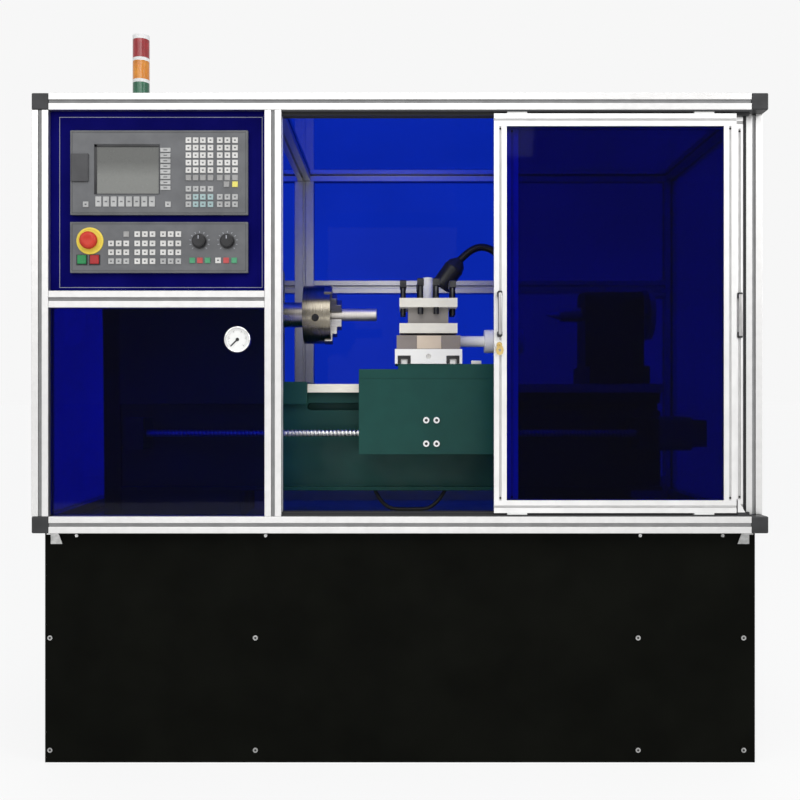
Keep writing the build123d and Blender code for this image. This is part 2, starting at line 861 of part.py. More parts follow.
# Three-jaw chuck, drawn with one jaw pointing up and turned round the axis
chuck_length = 75
chuck_radius = 80
backplate = 11
backplate_groove = 2
work_radius = 17
work_stick_out = 124
work_edge = 1.5
chuck_bore_radius = 22
jaw_width = 24
jaw_gap = 0.3
jaw_slot_depth = 18
jaw_steps = (28, 16, 4)
jaw_radii = (41, 62, 84)
jaw_turns = (40, 160, -80)
key_turns = (100, -20, 220)
key_hole_radius = 10
key_hole_depth = 14
key_hole_x_share = 0.47
chuck_right = chuck_left + chuck_length
jaw_slot_floor = chuck_right - jaw_slot_depth
work_left = chuck_left + backplate
work_right = chuck_right + work_stick_out


def about_spindle(turn):
    return Pos(0, 0, spindle_height) * Rot(turn, 0, 0)


chuck = rod_x(chuck_left, chuck_right, 0, 0, chuck_radius)
groove_ring = rod_x(work_left, work_left + backplate_groove, 0, 0, chuck_radius + overrun)
chuck -= groove_ring - rod_x(work_left, work_left + backplate_groove, 0, 0, chuck_radius - backplate_groove)
chuck -= rod_x(work_left, chuck_right + overrun, 0, 0, chuck_bore_radius)
slot_half = jaw_width / 2 + jaw_gap
key_hole_x = chuck_left + key_hole_x_share * chuck_length
for turn in jaw_turns:
    slot = block(jaw_slot_floor, chuck_right + overrun, -slot_half, slot_half, 0, chuck_radius + overrun)
    chuck -= Rot(turn, 0, 0) * slot
for turn in key_turns:
    hole = rod_z(key_hole_x, 0, chuck_radius - key_hole_depth, chuck_radius + overrun, key_hole_radius)
    chuck -= Rot(turn, 0, 0) * hole
save("chuck_body", about_spindle(0) * chuck)


def chuck_jaw():
    jaw = None
    inner = work_radius + jaw_gap
    for step, outer in zip(jaw_steps, jaw_radii):
        piece = block(jaw_slot_floor + jaw_gap, chuck_right + step, -jaw_width / 2, jaw_width / 2, inner, outer)
        jaw = piece if jaw is None else jaw + piece
        inner = outer
    return jaw


for number, turn in enumerate(jaw_turns, start=1):
    save("chuck_jaw_" + str(number), about_spindle(turn) * chuck_jaw())

bar = rod_x(work_left, work_right, 0, spindle_height, work_radius)
save("workpiece", chamfer(bar.edges().group_by(Axis.X)[-1], work_edge))

# Saddle on the ways, with the cross slide's rails, a limit switch, the lamp's shelf and the nut of the screw
saddle_half = 176
saddle_front = -230
saddle_rear = 150
wing_height = 36
land_height = 13
tail_room = 190
turret_share = 0.378
turret_y = -150
land_left = 77
land_right_inset = 8
rail_offset = 61.5
rail_width = 15
rail_height = 11
rail_end = 8
shelf_reach = 66
shelf_half = 25
shelf_thickness = 12
shelf_y = 125
switch_offset = 122
switch_size = 26
switch_height = 9
switch_inset = 15
nut_half_length = 32
nut_half = 30
nut_gap = 0.3
saddle_low = way_top + running_gap
wing_top = way_top + wing_height
land_top = wing_top + land_height
tail_left = bed_right - tail_room
turret_x = chuck_right + turret_share * (tail_left - chuck_right)
saddle_left = turret_x - saddle_half
saddle_right = turret_x + saddle_half
saddle = block(saddle_left, saddle_right, saddle_front, saddle_rear, saddle_low, wing_top)
land_right = saddle_right - land_right_inset
saddle += block(turret_x - land_left, land_right, saddle_front, saddle_rear, wing_top, land_top)
saddle += block(
    saddle_right - overrun, saddle_right + shelf_reach,
    shelf_y - shelf_half, shelf_y + shelf_half, wing_top - shelf_thickness, wing_top,
)
switch_left = turret_x + switch_offset - switch_size / 2
switch_front = saddle_front + switch_inset
saddle += block(
    switch_left, switch_left + switch_size, switch_front, switch_front + switch_size, land_top, land_top + switch_height
)
for side in (-1, 1):
    rail_x = turret_x + side * rail_offset
    saddle += block(
        rail_x - rail_width / 2, rail_x + rail_width / 2,
        saddle_front + rail_end, saddle_rear - rail_end, land_top, land_top + rail_height,
    )
nut_left = turret_x - nut_half_length
nut_right = turret_x + nut_half_length
saddle += block(nut_left, nut_right, screw_y - nut_half, screw_y + nut_half, screw_z - nut_half, saddle_low)
saddle -= rod_x(nut_left - overrun, nut_right + overrun, screw_y, screw_z, screw_bar_radius + nut_gap)
save("saddle", saddle)

# Apron cover: a folded sheet in front of the screw, with four screw heads
apron_drop = 179
apron_lap = 11
apron_sheet = 4
apron_return = 90
apron_screw_rises = (27, 86)
apron_screw_offsets = (-6, 20)
apron_screw_radius = 8
apron_screw_head = 6
apron_low = way_top - apron_drop
apron_high = way_top + apron_lap
apron_front = saddle_front - apron_sheet
apron = block(saddle_left, saddle_right, apron_front, saddle_front, apron_low, apron_high)
apron += block(
    saddle_left, saddle_right, saddle_front, saddle_front + apron_return, apron_low, apron_low + apron_sheet
)
for rise in apron_screw_rises:
    for offset in apron_screw_offsets:
        x = turret_x + offset
        z = apron_low + rise
        apron += rod_y(x, apron_front - apron_screw_head, apron_front, z, apron_screw_radius)
save("apron_cover", apron)

# Cross slide, notched for its two rails
slide_half = 85
slide_front_overhang = 85
slide_rear_overhang = 90
slide_height = 37.5
notch_width = 33
notch_height = 21
notch_depth = 6
slide_hole_radius = 6
slide_hole_depth = 10
slide_low = land_top + running_gap
slide_top = land_top + slide_height
slide_front = turret_y - slide_front_overhang
slide_rear = turret_y + slide_rear_overhang
rail_half = rail_width / 2 + running_gap
slide = block(turret_x - slide_half, turret_x + slide_half, slide_front, slide_rear, slide_low, slide_top)
for side in (-1, 1):
    rail_x = turret_x + side * rail_offset
    slide -= block(
        rail_x - notch_width / 2, rail_x + notch_width / 2,
        slide_front - overrun, slide_front + notch_depth, slide_low - overrun, land_top + notch_height,
    )
    slide -= block(
        rail_x - rail_half, rail_x + rail_half,
        slide_front - overrun, slide_rear + overrun, slide_low - overrun, land_top + rail_height + running_gap,
    )
hole_z = (slide_low + slide_top) / 2
slide -= rod_y(turret_x, slide_front - overrun, slide_front + slide_hole_depth, hole_z, slide_hole_radius)
save("cross_slide", slide)

# Turret base with its motor on the right and a fixed post in the middle
turret_base_half = 80.5
turret_base_height = 35
shoulder_radius = 45
shoulder_height = 5.6
hub_radius = 13
hub_height = 155
neck_radius = 14
neck_length = 67
turret_motor_radius = 30
turret_motor_length = 100
motor_axis_share = 0.69
turret_base_top = slide_top + turret_base_height
hub_top = turret_base_top + hub_height
turret_base_right = turret_x + turret_base_half
turret_axis_z = slide_top + motor_axis_share * turret_base_height
neck_right = turret_base_right + neck_length
turret_base = block(
    turret_x - turret_base_half, turret_base_right,
    turret_y - turret_base_half, turret_y + turret_base_half, slide_top, turret_base_top,
)
turret_base += rod_z(turret_x, turret_y, turret_base_top, turret_base_top + shoulder_height, shoulder_radius)
turret_base += rod_z(turret_x, turret_y, turret_base_top, hub_top, hub_radius)
turret_base += rod_x(turret_base_right, neck_right, turret_y, turret_axis_z, neck_radius)
turret_base += rod_x(neck_right, neck_right + turret_motor_length, turret_y, turret_axis_z, turret_motor_radius)
save("turret_base", turret_base)

# Four-way turret head: two square plates on a smaller block, clamped by square-head bolts
plate_half = 73.5
core_half = 51.5
lower_plate = 25
tool_slot = 41
upper_plate = 23
hub_gap = 0.3
bolt_radius = 7
bolt_hole_gap = 0.1
bolt_side = 20
bolt_reach = 64
bolt_below = 17
bolt_neck = 31
bolt_head = 20
bolt_head_size = 17
bolt_head_edge = 2
head_low = turret_base_top + shoulder_height + running_gap
slot_low = head_low + lower_plate
slot_high = slot_low + tool_slot
head_high = slot_high + upper_plate


def turret_square(half, z0, z1):
    return block(turret_x - half, turret_x + half, turret_y - half, turret_y + half, z0, z1)


bolt_spots = [(side * bolt_side, end * bolt_reach) for side in (-1, 1) for end in (-1, 1)]
bolt_spots += [(z, x) for x, z in bolt_spots]
head = turret_square(plate_half, head_low, slot_low) + turret_square(plate_half, slot_high, head_high)
head += turret_square(core_half, slot_low, slot_high)
head -= rod_z(turret_x, turret_y, head_low - overrun, head_high + overrun, hub_radius + hub_gap)
bolt_top = Pos(0, 0, bolt_head / 2) * Box(bolt_head_size, bolt_head_size, bolt_head)
bolt_top = chamfer(bolt_top.edges().group_by(Axis.Z)[-1] + bolt_top.edges().group_by(Axis.Z)[0], bolt_head_edge)
bolts = []
for dx, dy in bolt_spots:
    x = turret_x + dx
    y = turret_y + dy
    head -= rod_z(x, y, slot_high - overrun, head_high + overrun, bolt_radius + bolt_hole_gap)
    bolt = rod_z(x, y, slot_high - bolt_below, head_high + bolt_neck, bolt_radius)
    bolts.append(bolt + Pos(x, y, head_high + bolt_neck) * bolt_top)
save("turret_head", head)
save("turret_bolts", *bolts)

# Gooseneck work lamp on the rear right wing of the saddle
lamp_foot_x = 218
lamp_foot_y = 125
lamp_foot_radius = 22
lamp_foot_height = 20
lamp_arm_radius = 10.5
lamp_offsets = ((234, -3, 112), (245, -27, 238), (215, -43, 325), (145, -45, 363), (90, -45, 309))
lamp_head_radius = 29
lamp_head_length = 94
lamp_head_wall = 4
lamp_head_sink = 22
lamp_head_x = 71
lamp_head_back = 45
lamp_head_rise = 283
lamp_tilt = 36
lamp_arm_sides = 8
fit_share = 0.45


def bend_radius(before, corner, after):
    run_in = Vector(*corner) - Vector(*before)
    run_out = Vector(*after) - Vector(*corner)
    half_turn = math.radians(run_in.get_angle(run_out)) / 2
    return fit_share * min(run_in.length, run_out.length) / math.tan(half_turn)


def bent_route(points):
    bends = [bend_radius(*points[i - 1:i + 2]) for i in range(1, len(points) - 1)]
    print("bend radii", [round(bend, 1) for bend in bends])
    return FilletPolyline(*points, radius=bends)


lamp_foot_top = wing_top + lamp_foot_height
foot_x = turret_x + lamp_foot_x
lamp_points = [(foot_x, lamp_foot_y, lamp_foot_top - overrun)]
lamp_points += [(turret_x + dx, lamp_foot_y + dy, wing_top + dz) for dx, dy, dz in lamp_offsets]
lamp_path = bent_route(lamp_points)
lamp_section = RegularPolygon(lamp_arm_radius, lamp_arm_sides)
lamp = sweep(Plane(lamp_path @ 0, z_dir=lamp_path % 0) * lamp_section, lamp_path)
lamp += rod_z(foot_x, lamp_foot_y, wing_top, lamp_foot_top, lamp_foot_radius)
lamp_head = Cylinder(lamp_head_radius, lamp_head_length)
lamp_well = Cylinder(lamp_head_radius - lamp_head_wall, 2 * lamp_head_sink)
lamp_head -= Pos(0, 0, -lamp_head_length / 2) * lamp_well
lamp_head_place = Pos(turret_x + lamp_head_x, lamp_foot_y - lamp_head_back, wing_top + lamp_head_rise)
lamp += lamp_head_place * Rot(0, lamp_tilt, 0) * lamp_head
save("work_lamp", lamp)

# Tailstock with its quill, centre and handwheel
tail_length = 160
tail_foot_half = 120
tail_foot_height = 48
tail_half = 60
tail_crown = 60
tail_edge = 25
quill_radius = 20
quill_stick_out = 60
quill_length = 160
centre_length = 40
centre_radius = 14
centre_tip = 1
tail_wall = 20
wheel_shaft_radius = 10
wheel_shaft_in = 30
wheel_gap = 16
wheel_width = 14
wheel_radius = 70
wheel_well = 5
wheel_rim = 12
grip_radius = 8
grip_length = 40
grip_reach = 52
tail_right = tail_left + tail_length
tail_foot_top = way_top + tail_foot_height
tail = block(tail_left, tail_right, -tail_half, tail_half, tail_foot_top, spindle_height + tail_crown)
tail = fillet(tail.edges().filter_by(Axis.X).group_by(Axis.Z)[-1], tail_edge)
tail += block(tail_left, tail_right, -tail_foot_half, tail_foot_half, saddle_low, tail_foot_top)
tail -= rod_x(tail_left - overrun, tail_right - tail_wall, 0, spindle_height, quill_radius + shaft_gap)
tail -= rod_x(tail_left, tail_right + overrun, 0, spindle_height, wheel_shaft_radius + shaft_gap)
save("tailstock_body", tail)

quill_left = tail_left - quill_stick_out
centre = Pos(quill_left - centre_length / 2, 0, spindle_height) * Rot(0, 90, 0)
centre = centre * Cone(centre_tip, centre_radius, centre_length)
wheel_end = tail_right - wheel_shaft_in
quill = rod_x(quill_left, quill_left + quill_length, 0, spindle_height, quill_radius)
save("tailstock_quill", quill + centre)

wheel_left = tail_right + wheel_gap
wheel_right = wheel_left + wheel_width
wheel = rod_x(wheel_left, wheel_right, 0, spindle_height, wheel_radius)
well = rod_x(wheel_right - wheel_well, wheel_right + overrun, 0, spindle_height, wheel_radius - wheel_rim)
wheel -= well - rod_x(wheel_left, wheel_right + overrun, 0, spindle_height, 2 * wheel_shaft_radius)
wheel += rod_x(wheel_end, wheel_left + overrun, 0, spindle_height, wheel_shaft_radius)
wheel += rod_x(wheel_right - wheel_well, wheel_right + grip_length, 0, spindle_height + grip_reach, grip_radius)
save("tailstock_handwheel", wheel)

# Cable hanging in a loop under the bed
cable_radius = 5
cable_y = -90
cable_spots = ((-67, 0), (-45, -49), (25, -52), (95, -49), (120, 0))
cable_drop = 2.2
cable_points = [(x, cable_y, bed_low - cable_drop + z) for x, z in cable_spots]

cable_route = bent_route(cable_points)
print("cable length", round(cable_route.length, 1))
cable = sweep(Plane(cable_route @ 0, z_dir=cable_route % 0) * Circle(cable_radius), cable_route)
save("bed_cable", cable)
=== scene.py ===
# %% [markdown]
# # A compact CNC turning lathe in a blue-glazed enclosure
# The machine stands on a black sheet cabinet. Above it, slotted aluminium profiles hold blue acrylic panes,
# two sliding doors and a control board. The rigid solids come in as a frame that isn't moved. This lesson
# gives each of them a finish and adds the fine pieces: keys, screw heads, dial, thread, lamp neck and trim.

# %% Load the frame
import math

import bpy
from mathutils import Matrix, Vector


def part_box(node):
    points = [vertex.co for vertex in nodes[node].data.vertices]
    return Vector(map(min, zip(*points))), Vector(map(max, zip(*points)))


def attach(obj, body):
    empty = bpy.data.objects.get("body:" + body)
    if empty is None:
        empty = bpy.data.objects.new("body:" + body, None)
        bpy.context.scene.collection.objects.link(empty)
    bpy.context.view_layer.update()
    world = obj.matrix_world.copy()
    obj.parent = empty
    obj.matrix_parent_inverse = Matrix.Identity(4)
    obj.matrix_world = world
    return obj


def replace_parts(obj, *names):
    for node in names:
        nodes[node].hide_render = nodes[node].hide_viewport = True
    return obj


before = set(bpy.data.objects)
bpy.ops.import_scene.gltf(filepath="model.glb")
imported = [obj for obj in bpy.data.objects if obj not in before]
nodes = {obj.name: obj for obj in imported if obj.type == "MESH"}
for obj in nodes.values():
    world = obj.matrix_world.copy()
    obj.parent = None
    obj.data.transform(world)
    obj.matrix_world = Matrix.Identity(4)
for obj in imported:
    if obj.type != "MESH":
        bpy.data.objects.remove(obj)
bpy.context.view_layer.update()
print("frame loaded:", len(nodes), "nodes")

# %% [markdown]
# The picture is taken from straight in front, at about chest height, with the machine filling the frame.
# The lens looks level along +Y, so upright lines stay upright and no shift is needed.

# %% Camera
camera_distance = 2.660
camera_height = 0.870
lens_length = 43.3
film_width = 36.0


def set_camera():
    bpy.ops.object.camera_add(location=(0, -camera_distance, camera_height), rotation=(math.pi / 2, 0, 0))
    camera = bpy.context.object
    camera.name = "front_camera"
    camera.data.lens = lens_length
    camera.data.sensor_width = film_width
    bpy.context.scene.camera = camera


set_camera()
print("camera set")

# %% [markdown]
# A black cable hangs in a short loop under the bed. It is a soft thing held at both ends, so it is drawn
# as one smooth spline through the points of its route, with a round section. The section is one unit wide
# and the points carry the radius, because a curve's box grows by the radius of its points.

# %% Cable under the bed
cable_y = -0.090
cable_top = 0.6298
cable_route = ((-0.067, 0), (-0.045, -0.049), (0.025, -0.052), (0.095, -0.049), (0.120, 0))
cable_radius = 0.005


def smooth_line(name, places, order, steps):
    """A curve object with one smooth open spline that follows the places."""
    curve = bpy.data.curves.new(name, "CURVE")
    curve.dimensions = "3D"
    curve.bevel_resolution = 4
    spline = curve.splines.new("NURBS")
    spline.points.add(len(places) - 1)
    for point, place in zip(spline.points, places):
        point.co = (*place, 1)
    spline.order_u = order
    spline.use_endpoint_u = True
    spline.resolution_u = steps
    line = bpy.data.objects.new(name, curve)
    bpy.context.collection.objects.link(line)
    return line


cable = smooth_line("bed_cable_loop", [(x, cable_y, cable_top + drop) for x, drop in cable_route], 3, 16)
cable.data.bevel_depth = 1
cable.data.use_fill_caps = True
for point in cable.data.splines[0].points:
    point.radius = cable_radius
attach(cable, "enclosure")
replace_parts(cable, "bed_cable")
print("cable drawn with", len(cable_route), "points")

# %% [markdown]
# Soft studio light: a pale world, three lamps in front, one above and a low wide one for the bed and the
# lower beams. The floor is pale and plain. What the eye sees of the room is white, straight, through the
# panes and mirrored in metal, while the light on the machine stays moderate.

# %% Light and floor
world_strength = 0.55
lamp_setups = (
    ("front_left_lamp", (-1.9, -3.2, 2.7), (62, 0, -32), (2.4, 2.4), 26),
    ("front_middle_lamp", (-0.10, -3.4, 3.1), (59, 0, -1), (1.8, 1.8), 27),
    ("front_right_lamp", (3.2, -2.4, 2.4), (71, 0, 53), (1.8, 1.8), 50),
    ("top_lamp", (0.2, -0.6, 3.6), (12, 0, 0), (2.2, 2.2), 25),
    ("low_front_lamp", (-0.3, -3.0, 0.2), (96, 0, -3), (3.4, 0.3), 8),
)
world_tone = (0.95, 0.97, 1.0, 1)
seen_strength = 0.93
floor_size = 400
floor_tone = (0.80, 0.80, 0.79, 1)
floor_roughness = 0.6
floor_glow_share = 0.86


def maths(tree, operation, first, second):
    """The output of a Math node on a socket and a second socket or number."""
    node = tree.nodes.new("ShaderNodeMath")
    node.operation = operation
    tree.links.new(first, node.inputs[0])
    if isinstance(second, float):
        node.inputs[1].default_value = second
    else:
        tree.links.new(second, node.inputs[1])
    return node.outputs[0]


def seen_by_eye(tree):
    """One for what is seen straight, through a pane or mirrored in metal, zero for light that is shed."""
    rays = tree.nodes.new("ShaderNodeLightPath").outputs
    straight_or_through = maths(tree, "MAXIMUM", rays["Is Camera Ray"], rays["Is Transmission Ray"])
    return maths(tree, "MAXIMUM", straight_or_through, rays["Is Glossy Ray"])


def light_world():
    world = bpy.data.worlds.new("studio")
    bpy.context.scene.world = world
    world.use_nodes = True
    tree = world.node_tree
    tree.nodes.clear()
    output = tree.nodes.new("ShaderNodeOutputWorld")
    soft = tree.nodes.new("ShaderNodeBackground")
    soft.inputs["Color"].default_value = world_tone
    soft.inputs["Strength"].default_value = world_strength
    seen = tree.nodes.new("ShaderNodeBackground")
    seen.inputs["Color"].default_value = (1, 1, 1, 1)
    seen.inputs["Strength"].default_value = seen_strength
    mix = tree.nodes.new("ShaderNodeMixShader")
    tree.links.new(seen_by_eye(tree), mix.inputs[0])
    tree.links.new(soft.outputs[0], mix.inputs[1])
    tree.links.new(seen.outputs[0], mix.inputs[2])
    tree.links.new(mix.outputs[0], output.inputs["Surface"])


def place_lamps():
    for name, place, turn, size, power in lamp_setups:
        bpy.ops.object.light_add(type="AREA", location=place, rotation=[math.radians(a) for a in turn])
        lamp = bpy.context.object
        lamp.name = name
        lamp.data.shape = "RECTANGLE"
        lamp.data.size, lamp.data.size_y = size
        lamp.data.energy = power


def lay_floor():
    bpy.ops.mesh.primitive_plane_add(size=floor_size, location=(0, 0, 0))
    floor = bpy.context.object
    floor.name = "studio_floor"
    finish = bpy.data.materials.new("pale_floor")
    finish.use_nodes = True
    tree = finish.node_tree
    shader = tree.nodes["Principled BSDF"]
    shader.inputs["Base Color"].default_value = floor_tone
    shader.inputs["Roughness"].default_value = floor_roughness
    glow = tree.nodes.new("ShaderNodeEmission")
    mix = tree.nodes.new("ShaderNodeMixShader")
    tree.links.new(maths(tree, "MULTIPLY", seen_by_eye(tree), floor_glow_share), mix.inputs[0])
    tree.links.new(shader.outputs[0], mix.inputs[1])
    tree.links.new(glow.outputs[0], mix.inputs[2])
    tree.links.new(mix.outputs[0], tree.nodes["Material Output"].inputs["Surface"])
    floor.data.materials.append(finish)


light_world()
place_lamps()
lay_floor()
bpy.context.scene.view_settings.view_transform = "Standard"
print("studio lit")

# %% [markdown]
# Every finish starts from the same few steps: a noise on Object coordinates, a tint between two close
# tones, a change of gloss and a small bump. Written once as helpers, they keep each finish below short
# and readable.

# %% Helpers for finishes
ramp_ends = (0.35, 0.65)
grain_ends = (0.3, 0.7)


def begin_finish(name, metallic, roughness):
    finish = bpy.data.materials.new(name)
    finish.use_nodes = True
    shader = finish.node_tree.nodes["Principled BSDF"]
    shader.inputs["Metallic"].default_value = metallic
    shader.inputs["Roughness"].default_value = roughness
    return finish, finish.node_tree, shader


def object_grain(tree, scale, stretch=(1, 1, 1), detail=4):
    where = tree.nodes.new("ShaderNodeTexCoord")
    mapping = tree.nodes.new("ShaderNodeMapping")
    mapping.inputs["Scale"].default_value = stretch
    grain = tree.nodes.new("ShaderNodeTexNoise")
    grain.inputs["Scale"].default_value = scale
    grain.inputs["Detail"].default_value = detail
    tree.links.new(where.outputs["Object"], mapping.inputs["Vector"])
    tree.links.new(mapping.outputs["Vector"], grain.inputs["Vector"])
    return grain.outputs["Fac"]


def tone_ramp(tree, grain, dark, light):
    ramp = tree.nodes.new("ShaderNodeValToRGB")
    for element, position, tone in zip(ramp.color_ramp.elements, ramp_ends, (dark, light)):
        element.position = position
        element.color = (*tone, 1)
    tree.links.new(grain, ramp.inputs["Fac"])
    return ramp.outputs["Color"]


def map_range(tree, value, start, end, low, high):
    """The value of a socket, carried over from start and end to low and high."""
    spread = tree.nodes.new("ShaderNodeMapRange")
    for socket, number in zip(("From Min", "From Max", "To Min", "To Max"), (start, end, low, high)):
        spread.inputs[socket].default_value = number
    tree.links.new(value, spread.inputs["Value"])
    return spread.outputs["Result"]


def vary_gloss(tree, shader, grain, low, high):
    tree.links.new(map_range(tree, grain, *grain_ends, low, high), shader.inputs["Roughness"])


def add_bump(tree, shader, grain, strength, distance):
    bump = tree.nodes.new("ShaderNodeBump")
    bump.inputs["Strength"].default_value = strength
    bump.inputs["Distance"].default_value = distance
    tree.links.new(grain, bump.inputs["Height"])
    tree.links.new(bump.outputs["Normal"], shader.inputs["Normal"])


print("finish helpers ready")

# %% [markdown]
# Paint on sheet and castings has a fine orange peel and slow patches where hands and coolant dulled it.
# Moulded plastic is the same idea with a finer grain. Metal keeps the marks of its tool: fine lines drawn
# out along one axis, so its noise is stretched.

# %% Paint, plastic and metal
peel_scale = 520


def painted(name, dark, light, gloss=(0.32, 0.5), peel=0.12, shine=0.3):
    finish, tree, shader = begin_finish(name, 0.0, gloss[0])
    shader.inputs["Specular IOR Level"].default_value = shine
    patches = object_grain(tree, scale=7)
    tree.links.new(tone_ramp(tree, patches, dark, light), shader.inputs["Base Color"])
    vary_gloss(tree, shader, object_grain(tree, scale=16), *gloss)
    add_bump(tree, shader, object_grain(tree, peel_scale, detail=2), peel, distance=0.0006)
    return finish


def moulded(name, dark, light, gloss=(0.35, 0.5), coat=0.0, shine=0.3):
    finish, tree, shader = begin_finish(name, 0.0, gloss[0])
    shader.inputs["Specular IOR Level"].default_value = shine
    tree.links.new(tone_ramp(tree, object_grain(tree, scale=30), dark, light), shader.inputs["Base Color"])
    vary_gloss(tree, shader, object_grain(tree, scale=60), *gloss)
    add_bump(tree, shader, object_grain(tree, scale=1600, detail=1), strength=0.08, distance=0.0003)
    shader.inputs["Coat Weight"].default_value = coat
    return finish


def machined(name, dark, light, stretch=(1, 1, 1), gloss=(0.25, 0.42), scale=40):
    finish, tree, shader = begin_finish(name, 1.0, gloss[0])
    lines = object_grain(tree, scale, stretch)
    tree.links.new(tone_ramp(tree, lines, dark, light), shader.inputs["Base Color"])
    vary_gloss(tree, shader, object_grain(tree, scale=12), *gloss)
    add_bump(tree, shader, lines, strength=0.05, distance=0.0004)
    return finish


black_paint = painted(
    "black_sheet_paint", (0.0024, 0.0026, 0.0018), (0.0038, 0.0041, 0.0029), gloss=(0.42, 0.6), shine=0.03
)
tray_paint = painted("tray_paint", (0.46, 0.50, 0.45), (0.54, 0.58, 0.53), gloss=(0.3, 0.5))
board_blue = painted(
    "board_blue_paint", (0.0012, 0.0010, 0.072), (0.0028, 0.0024, 0.100), gloss=(0.3, 0.42), shine=0.015
)
machine_green = painted(
    "machine_green_paint", (0.0060, 0.050, 0.042), (0.0110, 0.070, 0.058),
    gloss=(0.28, 0.5), peel=0.2, shine=0.15,
)
motor_grey = painted("motor_grey_paint", (0.15, 0.165, 0.18), (0.22, 0.235, 0.25))
turret_tan = painted("turret_tan_paint", (0.52, 0.42, 0.32), (0.64, 0.53, 0.42), gloss=(0.45, 0.6))
lamp_black = painted("lamp_black_paint", (0.014, 0.014, 0.015), (0.028, 0.028, 0.03), gloss=(0.3, 0.42))
unit_grey = moulded("unit_grey_plastic", (0.105, 0.107, 0.112), (0.13, 0.132, 0.138))
cover_grey = moulded("cover_grey_plastic", (0.045, 0.045, 0.048), (0.060, 0.060, 0.063))
cube_black = moulded("cube_black_plastic", (0.022, 0.022, 0.023), (0.034, 0.034, 0.036))
knob_black = moulded(
    "knob_black_plastic", (0.014, 0.014, 0.015), (0.026, 0.026, 0.028), gloss=(0.28, 0.4)
)
collar_yellow = moulded("collar_yellow_plastic", (0.72, 0.55, 0.055), (0.79, 0.62, 0.085))
cable_black = moulded(
    "cable_black_rubber", (0.008, 0.008, 0.009), (0.014, 0.014, 0.015), gloss=(0.45, 0.6)
)
button_red = moulded(
    "button_red_plastic", (0.46, 0.020, 0.008), (0.54, 0.034, 0.014), gloss=(0.35, 0.45), coat=0.1
)
stop_red = moulded(
    "stop_red_plastic", (0.30, 0.010, 0.012), (0.37, 0.016, 0.018), gloss=(0.3, 0.4), coat=0.1
)
button_green = moulded(
    "button_green_plastic", (0.008, 0.17, 0.050), (0.014, 0.22, 0.065), gloss=(0.3, 0.4), coat=0.1
)
belt_rubber = moulded("belt_rubber", (0.018, 0.018, 0.018), (0.03, 0.03, 0.03), gloss=(0.6, 0.75))
steel = machined("ground_steel", (0.50, 0.50, 0.49), (0.66, 0.66, 0.65), stretch=(1, 14, 14))
chuck_steel = machined(
    "chuck_steel", (0.20, 0.178, 0.140), (0.31, 0.28, 0.225), stretch=(22, 1, 1), gloss=(0.2, 0.3)
)
spindle_steel = machined(
    "spindle_steel", (0.52, 0.475, 0.40), (0.66, 0.605, 0.51), stretch=(22, 1, 1), gloss=(0.22, 0.34)
)
ground_way = machined(
    "ground_way", (0.62, 0.60, 0.53), (0.76, 0.74, 0.66), stretch=(1, 30, 30), gloss=(0.3, 0.5)
)
bar_metal = machined(
    "turned_bar", (0.70, 0.66, 0.61), (0.80, 0.76, 0.71), stretch=(60, 1, 1), gloss=(0.5, 0.6)
)
jaw_steel = machined("jaw_steel", (0.26, 0.25, 0.245), (0.38, 0.37, 0.36), stretch=(1, 14, 14))
black_oxide = machined("black_oxide", (0.03, 0.03, 0.032), (0.06, 0.06, 0.062), gloss=(0.35, 0.5))
brass = machined("key_brass", (0.62, 0.44, 0.16), (0.78, 0.58, 0.24), gloss=(0.2, 0.35))
zinc = machined("zinc_screws", (0.30, 0.30, 0.295), (0.42, 0.42, 0.415), scale=90)
bright_rim = machined("gauge_rim", (0.68, 0.68, 0.68), (0.82, 0.82, 0.82), gloss=(0.12, 0.2))
print("paints, plastics and metals mixed")

# %% [markdown]
# Some solids carry two finishes, because the small part is bonded to the large one: nylon glides under a
# door frame, steel rails on the painted saddle, a grey core between the white plates of the turret. A
# band along one axis of the Object coordinates chooses between them.

# %% Two finishes in one solid
band_shine = 0.15
tone_shares = (0.96, 1.04)


def object_place(tree):
    """The X, Y and Z sockets of the Object coordinates."""
    where = tree.nodes.new("ShaderNodeTexCoord")
    split = tree.nodes.new("ShaderNodeSeparateXYZ")
    tree.links.new(where.outputs["Object"], split.inputs["Vector"])
    return split.outputs


def banded(name, axis, low, high, inside, outside, beyond=None):
    """Look inside between low and high, or right of beyond. A look is (colour, metallic, roughness)."""
    finish, tree, shader = begin_finish(name, inside[1], inside[2])
    shader.inputs["Specular IOR Level"].default_value = band_shine
    place = object_place(tree)
    above = maths(tree, "GREATER_THAN", place[axis], low)
    band = maths(tree, "MULTIPLY", above, maths(tree, "LESS_THAN", place[axis], high))
    if beyond is not None:
        band = maths(tree, "MAXIMUM", band, maths(tree, "GREATER_THAN", place["X"], beyond))
    grain = object_grain(tree, scale=24)
    mix = tree.nodes.new("ShaderNodeMix")
    mix.data_type = "RGBA"
    factor, outer, inner, blend = mix.inputs[0], mix.inputs[6], mix.inputs[7], mix.outputs[2]
    tree.links.new(band, factor)
    for look, socket in ((outside, outer), (inside, inner)):
        dark, light = [[share * value for value in look[0]] for share in tone_shares]
        tree.links.new(tone_ramp(tree, grain, dark, light), socket)
    tree.links.new(blend, shader.inputs["Base Color"])
    for socket, entry in (("Metallic", 1), ("Roughness", 2)):
        tree.links.new(map_range(tree, band, 0, 1, outside[entry], inside[entry]), shader.inputs[socket])
    add_bump(tree, shader, object_grain(tree, scale=700, detail=2), strength=0.06, distance=0.0004)
    return finish


print("banded finish ready")
